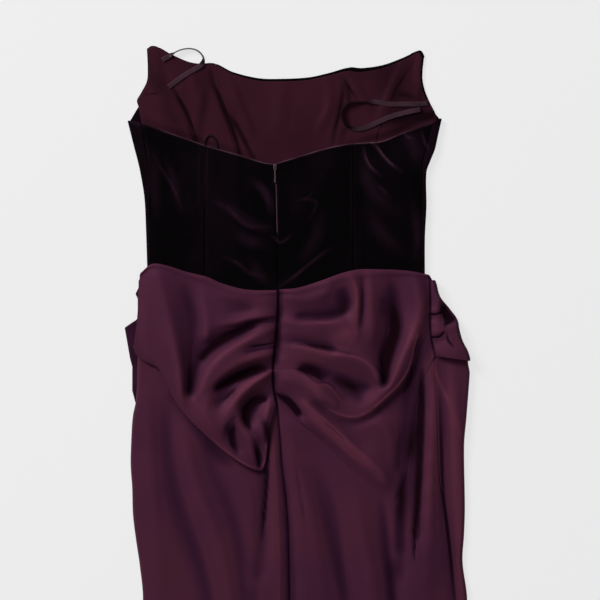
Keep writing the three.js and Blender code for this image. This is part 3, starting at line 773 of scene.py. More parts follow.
# Soft folds of the front, which lining and velvet share.
frontFolds = [
    (1.6, 10, 14, 0.0, 0.4, 0.0, [(-186, 640), (-180, 610), (-168, 575), (-150, 548)]),
    (1.4, 12, 12, 0.0, 0.3, 0.0, [(-140, 624), (-132, 590), (-118, 556)]),
    (1.8, 9, 12, 0.1, 0.2, 0.0, [(-92, 612), (-76, 575), (-60, 535), (-55, 512)]),
    (1.3, 16, 16, 0.0, 0.5, 0.0, [(-20, 606), (-22, 570), (-24, 530)]),
    (1.6, 10, 12, 0.1, 0.3, 0.0, [(69, 612), (78, 592), (90, 574), (94, 555)]),
    (1.5, 12, 9, 0.0, 0.3, 0.0, [(36, 610), (42, 575), (30, 545), (22, 525)]),
    (1.8, 12, 10, 0.0, 0.4, 0.0, [(140, 630), (126, 600), (112, 565), (108, 540)]),
    (1.4, 9, 9, 0.0, 0.4, 0.0, [(160, 640), (158, 612), (160, 588)]),
]
frontTops = [-196, -182, -107, 68, 148, 165]
liningInset = rim([(-196, 1.2), (-120, 1.8), (-85, 2.8), (0, 3.6), (40, 3.8), (84, 5.2), (115, 4.4),
                   (150, 3.6), (165, 3.0)])
liningShadows = [
    # soft shade in folds and along seams; the first figure is how dark
    (1.2, 3, 8, 0.3, 0.4, 0.8, [(-162, 597), (-154, 582.5), (-145, 566.5), (-139.5, 552.5), (-134, 535),
                                (-130, 522)]),
    (0.55, 18, 16, 0.0, 0.7, 0.4, [(-190, 618), (-182, 602), (-172, 588)]),
    (0.8, 2, 2, 0.3, 0.4, 0.4, [(-203, 587), (-192, 587), (-178, 588)]),
    (0.35, 14, 20, 0.0, 0.3, 0.8, [(-178, 590), (-168, 566), (-150, 540)]),
    (0.45, 10, 10, 0.0, 0.4, 0.8, [(-119, 612), (-119, 590), (-124, 560), (-129, 530)]),
    (1.3, 4, 8, 0.3, 0.4, 0.6, [(-112, 616), (-109, 600), (-102, 586), (-94, 565), (-86, 546), (-78, 523),
                                (-74, 508)]),
    (1.0, 5, 6, 0.2, 0.2, 0.6, [(-94, 566), (-84, 554), (-73, 535), (-64, 517), (-57, 504)]),
    (1.0, 4, 6, 0.2, 0.4, 0.5, [(61, 606), (59.5, 590), (56, 569), (50, 544), (46, 524)]),
    (0.9, 3, 3, 0.4, 0.4, 0.3, [(62, 605), (66, 598), (71, 590), (76, 582)]),
    (0.7, 5, 5, 0.0, 0.3, 0.9, [(64, 602), (66, 590), (67, 578)]),
    (0.5, 6, 8, 0.1, 0.2, 0.3, [(62, 568), (66, 552), (60, 536), (56, 522)]),
    (0.9, 1.7, 1.9, 0.4, 0.5, 0.7, [(151, 629), (142.6, 615.6), (133, 601.5), (121, 581), (113, 556),
                                    (105, 537), (103, 527)]),
    (0.45, 45, 35, 0.0, 0.5, 0.6, [(118, 640), (124, 600), (134, 560), (136, 530)]),
    (0.5, 6, 6, 0.0, 0.4, 0.6, [(128, 586), (142, 586), (153, 582)]),
    (0.9, 12, 12, 0.0, 0.4, 0.8, [(116, 548), (134, 556), (152, 561), (168, 560), (180, 562)]),
    (0.45, 9, 6, 0.0, 0.5, 0.5, [(163, 600), (160, 585), (162, 570)]),
    (0.6, 8, 8, 0.0, 0.2, 0.9, [(60, 521), (90, 529), (120, 536), (150, 549), (176, 558)]),
    (0.45, 8, 8, 0.0, 0.6, 0.4, [(-200, 552), (-160, 538), (-118, 524), (-76, 512), (-45, 502)]),
]


def frontRise(x, y):
    flat = foldField(frontFolds, x, y) + 0.5 + ripple(x, y, 0.35, 60, 3)
    return np.maximum(flat, 0.0) * ramp(y, 490, 560)


def frontShade(x, y):
    # painted shade in the lining's folds and along its seams
    return np.clip(foldField(liningShadows, x, y), 0, 1)


frontBodice = {
    "armholeFootLeft": 571, "armholeFootRight": 579,
    "rightInset": 1.7,  # the lining stands back this much further at the right armhole
    "spareWidth": 12,  # what a panel gains below its top, which sets its columns
}


def liningEdge(x):
    return neckline(x) - liningInset(x)


def sideEdge(armhole, underarm, top, notch, low, armGap, seamAside):
    # down the armhole to the underarm, then down the underarm seam
    upper = downSeam(armhole, top, notch, armGap)
    lower = downSeam(underarm, notch, low, seamAside)
    share = 0.3

    def edge(t):
        t = np.asarray(t, float)
        above = (t <= share)[..., None]
        below = lower(np.maximum((t - share) / (1 - share), 0))
        return np.where(above, upper(np.minimum(t / share, 1)), below)
    return edge


def makeFrontBodice():
    # name, slot, wall, material, height of its face, inset, foot and grid step of each layer
    outerWall, inset, liningLow = cloth["velvet"], cloth["liningInset"], cloth["liningLow"]
    layers = [
        ("front", "velvet", outerWall, velvet, outerWall, 0.0, cloth["waist"] + halfGap, 3.4),
        ("lining", "lining", cloth["lining"], lining, liningTop, inset, liningLow, 2.0),
    ]
    names = ["side_left", "cup_left", "centre", "cup_right", "side_right"]
    footLeft, footRight = frontBodice["armholeFootLeft"], frontBodice["armholeFootRight"]
    for part, slotName, wall, material, height, inset, low, step in layers:
        edge = liningEdge if inset else neckline
        for i, name in enumerate(names):
            top = acrossRim(edge, frontTops[i], frontTops[i + 1])
            startY, endY = top(0.0)[1], top(1.0)[1]
            left = downSeam(frontSeams[i - 1], startY, low, halfGap)
            right = downSeam(frontSeams[min(i, 3)], endY, low, -halfGap)
            if i == 0:
                left = sideEdge(armholeLeft, underarmLeft, startY, footLeft, low, inset, halfGap)
            if i == 4:
                rightInset = -frontBodice["rightInset"] * inset
                right = sideEdge(armholeRight, underarmRight, endY, footRight, low, rightInset, -halfGap)
            bottom = acrossRim(straight(low), left(1.0)[0], right(1.0)[0])
            width = frontTops[i + 1] - frontTops[i] + frontBodice["spareWidth"]
            # the lining takes painted shade from frontShade, the velvet layer none
            layCloth(camel(part + "_" + name), part + "_" + name, slotName,
                     patch(top, bottom, left, right), shares(max(int(width / step), 10)),
                     shares(int((startY - low) / step)),
                     lambda x, y, u, v, height=height: height + frontRise(x, y), wall, material,
                     lambda x, y, u, v: frontShade(x, y) * (inset > 0))


makeFrontBodice()
print("front bodice and lining laid out")


# back bodice

backRelief = {
    "length": 190,  # from the top edge to the waist
    "swell": 0.5, "creaseLift": 1.0, "liftMost": 1.25,
    "seamDip": 0.9, "dipWidth": 1.6,
    "turnedEdge": 0.7, "turnedAt": 2.6, "turnedWidth": 2.0,
}
# Painted sheen in the velvet's colour: at 1 it takes the lighter plum sheen colour, at 2 the pale painted
# highlight of the top edge.
napLight = {
    "most": 1.9, "crease": 0.8, "sideCrease": 0.7, "side": 0.22,
    "edge": 1.75, "edgeUneven": 0.4, "edgeFade": 0.45,
    "zip": 1.8, "zipWidth": 0.8, "zipLow": (402, 410), "zipTop": (468, 476),
}

# Creases in the velvet, with painted sheen where the pile catches light: the rise is a share of creaseLift.
backCreases = [
    (0.8, 2.2, 4, 0.4, 0.3, 0.2, [(-186, 508), (-176, 490), (-166, 474), (-156, 455), (-149, 434)]),
    (0.5, 3, 3, 0.1, 0.4, 0.4, [(-197, 530), (-193.5, 500), (-192, 452)]),
    (0.9, 7, 7, 0.0, 0.6, 0.3, [(-220, 554), (-211, 550), (-200, 544)]),
    (0.6, 3.5, 5, 0.4, 0.2, 0.3, [(-111, 447), (-91, 439), (-81, 430), (-71, 419), (-58, 414), (-33, 415)]),
    (1.0, 2.2, 3, 0.4, 0.2, 0.3, [(-34, 402), (-29, 400), (-24, 394), (-18, 395), (-8, 404)]),
    (0.7, 3.5, 5, 0.4, 0.3, 0.2, [(-96, 375), (-77, 367), (-61, 354), (-41, 350)]),
    (1.1, 2.2, 4, 0.4, 0.3, 0.2, [(-28, 334), (-18, 341), (-7, 348), (11, 362), (32, 379), (44, 387)]),
    (2.0, 2.4, 5, 0.3, 0.5, 0.2, [(97, 526), (105, 517), (113, 506), (124, 495), (135, 487)]),
    (1.6, 2.6, 5, 0.3, 0.3, 0.2, [(87, 517), (90, 503), (97, 491), (109, 481)]),
    (0.8, 3, 5, 0.4, 0.2, 0.2, [(104, 470), (110, 464), (120, 454)]),
    (1.2, 2.5, 4, 0.4, 0.3, 0.2, [(138, 538), (144, 531), (151, 529)]),
    (1.2, 2.4, 4, 0.4, 0.3, 0.2, [(162, 537), (166, 525), (174, 511)]),
    (0.5, 3, 4, 0.2, 0.1, 0.2, [(-8, 446), (9, 450), (25, 446), (15, 421)]),
    (0.7, 2.4, 3, 0.4, 0.2, 0.2, [(6, 449), (14, 452), (20, 460)]),
    (0.45, 3, 3, 0.2, 0.4, 0.4, [(72, 518), (71, 480), (71, 440), (72, 400)]),
    (0.5, 1.2, 1.2, 0.6, 0.6, 0.4, [(-127, 518), (-128, 500), (-128.5, 480), (-128, 440)]),
    (0.6, 1.2, 1.2, 0.6, 0.6, 0.4, [(-118, 516), (-118.5, 500), (-119, 470), (-119, 430)]),
    # broad patches of painted sheen
    (0.75, 13, 9, 0.0, 0.3, 0.3, [(-104, 446), (-86, 434), (-66, 420), (-42, 410)]),
    (0.95, 9, 9, 0.0, 0.3, 0.5, [(-58, 474), (-46, 464), (-37, 450), (-34, 436)]),
    (0.6, 12, 14, 0.0, 0.2, 0.3, [(-86, 410), (-66, 398), (-44, 392)]),
    (0.5, 12, 12, 0.0, 0.2, 0.3, [(-60, 372), (-50, 352), (-36, 340)]),
    (0.5, 9, 8, 0.0, 0.3, 0.3, [(-170, 500), (-160, 470), (-152, 436)]),
    (0.45, 12, 8, 0.0, 0.3, 0.3, [(-190, 515), (-186, 480), (-184, 430)]),
    (0.4, 14, 12, 0.0, 0.3, 0.3, [(30, 430), (24, 400), (6, 372)]),
    (0.5, 12, 16, 0.0, 0.3, 0.3, [(86, 504), (90, 480), (100, 460), (124, 440)]),
    (0.65, 16, 12, 0.0, 0.3, 0.3, [(140, 536), (150, 520), (156, 496)]),
    (0.55, 14, 8, 0.0, 0.3, 0.3, [(150, 440), (156, 410), (156, 376)]),
    (0.4, 14, 14, 0.0, 0.3, 0.3, [(96, 430), (110, 404), (132, 384)]),
]


def backCreasesAndSheen(x, y):
    # the creases lift the relief a little and paint sheen into the velvet's colour
    return np.clip(foldField(backCreases, x, y), 0, napLight["most"])


def backTop(x, y):
    # a small hollow beside the zip, on a soft swell that dies out at the waist
    hollow = 1.1 * np.exp(-(((x + 33) / 17) ** 2 + ((y - 428) / 8) ** 2))
    swell = backRelief["swell"] * (1 + ripple(x, y, 1.0, 70, 11))
    rise = swell + backRelief["creaseLift"] * np.minimum(backCreasesAndSheen(x, y), backRelief["liftMost"])
    return bodiceTop + np.maximum(rise - hollow, -0.6) * ramp(y, 330, 372)


def makeBackBodice():
    # node, left and right seam, where its top edge starts and ends, and its room at each seam
    pieces = [
        ("back_side_left", sideBackLeft, princessLeft, -203, -118, halfGap, -halfGap),
        ("back_centre_left", princessLeft, centreBack, -118, -29, halfGap, -2 * halfGap),
        ("back_centre_right", centreBack, princessRight, -29, 73, 2 * halfGap, -halfGap),
        ("back_side_right", princessRight, sideBackRight, 73, 176, halfGap, -halfGap),
    ]
    columnStep, rowCount = 1.7, 112
    length = backRelief["length"]
    for name, leftSeam, rightSeam, startTop, endTop, leftGap, rightGap in pieces:
        edge = acrossRim(backEdge, startTop, endTop)
        left = downSeam(leftSeam, edge(0.0)[1], seamFoot(leftSeam), leftGap)
        right = downSeam(rightSeam, edge(1.0)[1], seamFoot(rightSeam), rightGap)
        bottom = acrossRim(backWaist, left(1.0)[0], right(1.0)[0])

        def top(x, y, u, v, width=endTop - startTop):
            toSeam = np.minimum(u, 1 - u) * width
            dip = backRelief["seamDip"] * np.exp(-toSeam / backRelief["dipWidth"])
            fromTurn = (v * length - backRelief["turnedAt"]) / backRelief["turnedWidth"]
            return backTop(x, y) - dip + backRelief["turnedEdge"] * np.exp(-(fromTurn ** 2))

        # painted sheen on the creases, a painted highlight along the top edge and one along the zip
        def napToneAndSheen(x, y, u, v, width=endTop - startTop, besideZip=leftSeam is centreBack):
            uneven = ripple(x, y, napLight["edgeUneven"], 30, 4)
            edgeLight = (napLight["edge"] + uneven) * np.exp(-v * length)
            edgeLight = edgeLight * (1 - napLight["edgeFade"] * ramp(np.abs(x + 20), 110, 190))
            zipEnd, zipStart = napLight["zipTop"]
            alongZip = ramp(y, *napLight["zipLow"]) * ramp(-y, -zipStart, -zipEnd)
            zipLight = besideZip * napLight["zip"] * np.exp(-u * width / napLight["zipWidth"]) * alongZip
            return backCreasesAndSheen(x, y) * napLight["crease"] + edgeLight + zipLight

        layCloth(camel(name), name, "velvet", patch(edge, bottom, left, right),
                 shares(int((endTop - startTop) / columnStep)), shares(rowCount),
                 top, cloth["velvet"], velvet, napToneAndSheen)


def makeBodiceSide(name, node, side, silhouette, backSeam, frontSeam, corner, back, front):
    low = cloth["waist"] + halfGap
    foldLine = downSeam(silhouette, corner, low, -side * cloth["bodiceFold"])
    seamOnBack = downSeam(backSeam, back, seamFoot(backSeam), side * halfGap)
    frontLine = downSeam(frontSeam, front, low, side * halfGap)

    def seamOnFront(t):
        # the front's seam starts higher, so its rows are spaced to run level with the back's
        return frontLine(np.asarray(t, float) ** 0.84)

    # painted sheen from the creases, plus an even painted sheen over the side pieces and their turned part
    wrapCloth(name, node, "velvet", cloth["velvet"], velvet, side, cloth["bodiceFold"],
              between(seamOnBack, foldLine), between(foldLine, seamOnFront),
              (backTop, lambda x, y: np.zeros_like(x)), (6, 12, 8), shares(110),
              lambda x, y: napLight["sideCrease"] * backCreasesAndSheen(x, y) + napLight["side"], napLight["side"])


makeBackBodice()
makeBodiceSide("sideLeft", "side_left", -1, bodiceLeft, sideBackLeft, underarmLeft, 552, 550, 571)
makeBodiceSide("sideRight", "side_right", 1, bodiceRight, sideBackRight, underarmRight, 555, 549, 562)
print("back bodice laid out")


# skirt

foldDepth = {"skirt": 1.0, "overlay": 1.4}  # how much of the drawn heights each takes

skirtLines = [
    # crests and valleys of the back skirt, from the left fold to the right
    [(-200, 340, 1), (-207, 240, 1), (-214, 140, 1.5), (-214, 40, 1.5), (-203, -70, 1.5),
     (-208, -300, 1.5), (-216, -650, 1.5)],
    [(-198, 200, 3), (-192, 120, 5), (-186, 30, 5.5), (-180, -70, 5), (-184, -300, 4), (-186, -650, 5)],
    [(-176, 200, 1), (-173, 162, 0), (-168, 97, 0), (-155, 37, 0), (-133, -18, 0.5), (-118, -70, 1),
     (-112, -200, 2)],
    [(-152, 150, 3), (-146, 129, 5), (-132, 74, 6.5), (-109, 14, 7), (-92, -50, 6.5), (-86, -200, 5),
     (-90, -400, 4), (-96, -650, 5)],
    [(-122, 128, 1), (-118, 115, 0), (-100, 74, 0), (-82, 32, 0), (-72, -14, 0.5), (-67, -70, 1),
     (-64, -250, 1.5), (-60, -650, 0.5)],
    [(-78, 100, 3), (-66, 70, 4.5), (-57, 20, 5), (-56, -40, 4.5), (-54, -100, 4)],
    [(-44, 150, 0.5), (-41, 97, 0), (-42, 55, 0), (-46.5, 4, 0), (-49, -40, 1.5)],
    [(-34, 165, 4), (-33, 120, 6.5), (-31, 80, 7), (-29, 30, 7), (-27, -70, 6.5), (-28, -250, 5),
     (-30, -450, 4), (-30, -650, 4.5)],
    [(-28, 300, 0), (-28, 190, 1), (-25, 165, 1), (-21, 120, 1), (-15, 50, 0.5), (-11, -18, 0.5),
     (-8, -70, 0.5), (-6, -400, 1), (-4, -650, 1)],
    [(-16, 160, 4), (-10, 120, 5.5), (-4, 70, 5.5), (2, 0, 5.5), (8, -80, 5), (14, -300, 4.5),
     (16, -650, 4.5)],
    [(4, 120, 4), (14, 60, 6), (22, 10, 6.5), (30, -69, 6), (34, -250, 5), (36, -650, 5.5)],
    [(22, 100, 2), (35, 51, 0.5), (44, 5, 0.5), (53, -32, 0.5), (63, -70, 1), (68, -250, 1.5),
     (70, -650, 0.5)],
    [(58, 90, 4), (72, 74, 5), (82, 20, 6.5), (90, -20, 7), (99, -69, 6.5), (102, -250, 5), (104, -650, 5)],
    [(106, 66, 2), (112, 40, 1), (114, 0, 0.5), (118, -40, 0.5), (124, -90, 1), (130, -250, 1.5),
     (134, -650, 0.5)],
    [(126, 60, 3.5), (125, 20, 4.5), (126, -20, 4)],
    [(142, 160, 1), (137, 106, -1), (134, 51, -1), (132, 4, 0), (135, -40, 1)],
    [(148, 110, 3), (148, 60, 4.5), (147, 20, 6), (146, -40, 6), (150, -200, 5), (158, -400, 4),
     (160, -650, 5)],
    [(166, 240, 1), (165, 205, -1.5), (163, 166, -2), (159, 120, -2), (157, 52, -2), (157, 10, 0)],
    [(168, 262, 4), (174, 225, 7), (177, 190, 8), (176, 120, 8.5), (170, 51, 8), (167, -20, 7.5),
     (166, -69, 7), (174, -250, 5), (186, -650, 4.5)],
    [(178, 246, 1.5), (184, 215, 1), (185, 180, 0.5), (185, 74, 0.5), (194, 5, 0.5), (204, -69, 0.5),
     (209, -300, 1.5), (212, -650, 1.5)],
    [(196, 222, 3), (198, 195, 5.5), (204, 164, 6), (208, 130, 5.5), (207, 60, 4.5), (212, 0, 3)],
    [(205, 300, 1), (220, 240, 2), (218, 150, 2), (213, 20, 2), (216, -71, 2), (218, -650, 2)],
    # flat where the overlay covers it
    [(-190, 300, 0), (-150, 300, 0), (-100, 300, 0), (-60, 300, 0)],
    [(-150, 240, 0), (-100, 200, 0), (-60, 160, 0)],
    [(0, 300, 0), (60, 300, 0), (120, 300, 0), (160, 280, 0)],
    [(20, 220, 0), (80, 180, 0), (130, 140, 0), (108, 108, 0)],
]
skirtCreases = [
    (-2.0, 2.5, 4, 0.5, 0.2, 0.1, [(-40, 120), (-41, 97), (-42, 55), (-46.5, 4)]),
    (-1.6, 2.5, 3, 0.5, 0.2, 0.1, [(-3, 112), (3, 80), (8, 45), (14, 12)]),
    (-2.0, 2.5, 3, 0.5, 0.2, 0.1, [(153, 42), (152, 10), (151, -28)]),
    (-1.2, 2.5, 4, 0.3, 1.0, 1.0, [(-27, 190), (-23, 148), (-20, 106), (-15, 64), (-12, 23), (-10, -71),
                                   (-7, -350), (-4, -650)]),
]
# painted shade in the skirt's folds and beside its swags and seam; a negative first figure paints highlight
skirtShadows = [
    (0.2, 14, 16, 0.0, 0.4, 0.6, [(-172, 190), (-150, 60), (-126, -20), (-108, -120), (-104, -300)]),
    (0.5, 10, 16, 0.0, 0.6, 0.3, [(-160, 196), (-128, 150), (-98, 116), (-66, 94)]),
    (0.35, 12, 12, 0.0, 0.3, 0.8, [(-76, 92), (-66, 40), (-58, -20), (-54, -80), (-56, -300)]),
    (1.1, 3.5, 3.5, 0.3, 0.7, 0.2, [(-36, 152), (-37, 122), (-38, 95), (-41, 60), (-46, 10)]),
    (-0.6, 3, 4, 0.1, 0.4, 0.5, [(-31, 170), (-30, 120), (-26, 60), (-24, 0), (-24, -80), (-26, -300)]),
    (0.2, 10, 12, 0.0, 0.3, 0.8, [(40, 90), (50, 20), (56, -40), (62, -100), (68, -300)]),
    (0.4, 9, 10, 0.0, 0.3, 0.8, [(110, 70), (116, 0), (122, -60), (130, -200)]),
    (1.1, 7, 7, 0.0, 0.5, 0.3, [(161, 228), (162, 190), (161, 150), (159, 100), (156, 50), (154, 0)]),
    (0.8, 20, 16, 0.0, 0.4, 0.5, [(150, 200), (146, 150), (140, 100), (136, 60), (134, 0)]),
    (0.9, 2, 4, 0.4, 0.3, 0.3, [(154, 46), (153, 10), (152, -28)]),
    (-1.0, 3, 6, 0.1, 0.6, 0.3, [(172, 258), (184, 215), (200, 182), (209, 155), (217, 129)]),
    (-0.8, 12, 12, 0.0, 0.5, 0.6, [(198, 236), (202, 180), (206, 110), (210, 20), (212, -100)]),
    (-0.8, 3, 1.4, 0.2, 0.4, 0.5, [(176, 205), (179, 150), (180, 100), (180.5, 60), (183, 0)]),
    (1.0, 4, 3, 0.1, 0.3, 0.7, [(184, 190), (187, 120), (189, 66), (195, 20), (204, -70)]),
]
skirtDrape = Drape(skirtLines, (-234, -662, 234, 362), 3.0, 5, 20)


def skirtRise(x, y):
    deepest = -1.4
    rise = foldDepth["skirt"] * np.maximum(skirtDrape.at(x, y), deepest)
    return rise + foldField(skirtCreases, x, y) + ripple(x, y, 0.25, 90, 5)


def openSkirtTop(x, y):
    return skirtBackTop(y) + skirtRise(x, y)


def skirtTop(x, y):
    # the skirt gives way under the right swag, whose edge lies flush with it
    underSwag = ramp(insideRightSwag(x, y), 0.5, 4.0) * (x > -27) * (x < 176)
    return openSkirtTop(x, y) - (cloth["satin"] + cloth["gap"]) * underSwag


def skirtShade(x, y):
    # painted shade and highlight: the drape's depth, the shadow rows and darker creases
    deep = foldField(skirtShadows, x, y) - 0.35 * foldField(skirtCreases, x, y)
    return np.clip(skirtDrape.hollow(x, y, 4.0) + deep, -1, 1)


def skirtRows():
    # close together where the folds are, wider below
    foldsEnd = 0.44
    upper = np.linspace(0, foldsEnd, 185)
    lower = np.linspace(foldsEnd, 1, 116)
    return np.concatenate([upper, lower[1:]])


def makeSkirt():
    v = skirtRows()
    gap, fold, hem = cloth["waistGap"], cloth["skirtFold"], cloth["hem"]
    frontTop = cloth["waist"] - halfGap
    centreTop, rightTop = float(backWaist(-25)) - gap, float(backWaist(171)) - gap
    foldLeft = downSeam(hipLeft, frontTop, hem, fold)
    frontTuck = 12.0
    leftUpper = patch(acrossRim(backWaist, -192, -25, gap), acrossRim(straight(hem), -212, -4),
                      foldLeft, downSeam(centreBack, centreTop, hem, -halfGap))
    satinTops = (skirtTop, lambda x, y: hipLift(y))

    def mirrored(u, v):
        return leftUpper(1 - u[::-1], v)[:, ::-1]

    def turned(t):
        return foldLeft(t) + np.array([frontTuck, 0.0])

    wrapCloth("skirtBackLeft", "skirt_back_left", "satin", cloth["satin"], satin, -1, fold,
              mirrored, between(foldLeft, turned), satinTops, (80, 10, 4), v, skirtShade)
    rightUpper = patch(acrossRim(backWaist, -25, 171, gap), acrossRim(straight(hem), -4, 212),
                       downSeam(centreBack, centreTop, hem, halfGap),
                       downSeam(sideSeam, rightTop, hem, -halfGap))
    layCloth("skirtBackRight", "skirt_back_right", "satin", rightUpper, shares(84), v,
             lambda x, y, a, b: skirtTop(x, y), cloth["satin"], satin,
             lambda x, y, a, b: skirtShade(x, y))

    def inside(y):
        return (cloth["satin"] + cloth["wrapRoom"]) * ramp(y, 222, 238)

    def seamUnderneath(y):
        return hipLeft(y) + fold + frontTuck + cloth["gap"]

    foldRight = downSeam(lambda y: hipRight(y) - inside(y) - fold, frontTop, hem)
    wrapCloth("skirtFront", "skirt_front", "satin", cloth["satin"], satin, 1, fold,
              between(downSeam(sideSeam, rightTop, hem, halfGap), foldRight),
              between(foldRight, downSeam(seamUnderneath, frontTop, hem)), satinTops, (16, 10, 60), v,
              skirtShade)


makeSkirt()
print("skirt laid out")


# draped overlay

overlay = {
    "topTurn": 1.2, "turnAt": 0.022, "turnWidth": 0.018,  # the turned edge along its top
    "leftSide": (354, 258), "sideSeam": (352, 246),  # top and foot of its side edges
    "centreLeft": 332, "centreRight": 333, "centreLow": 187.0, "centreRoom": 0.5,
    "tuckLow": 240.0, "turnedShade": 0.55,
}
# Lines that a crease and its shade share.
upperTuck = [(172, 300.6), (181, 300.4), (187, 303.5)]
lowerTuck = [(175, 270.5), (184, 271), (190.5, 277)]
hipCrease = [(194, 275), (196, 266), (204, 257)]
bandCrease = [(27, 166.5), (38, 157), (50, 147.5), (60, 138), (69, 128.5)]

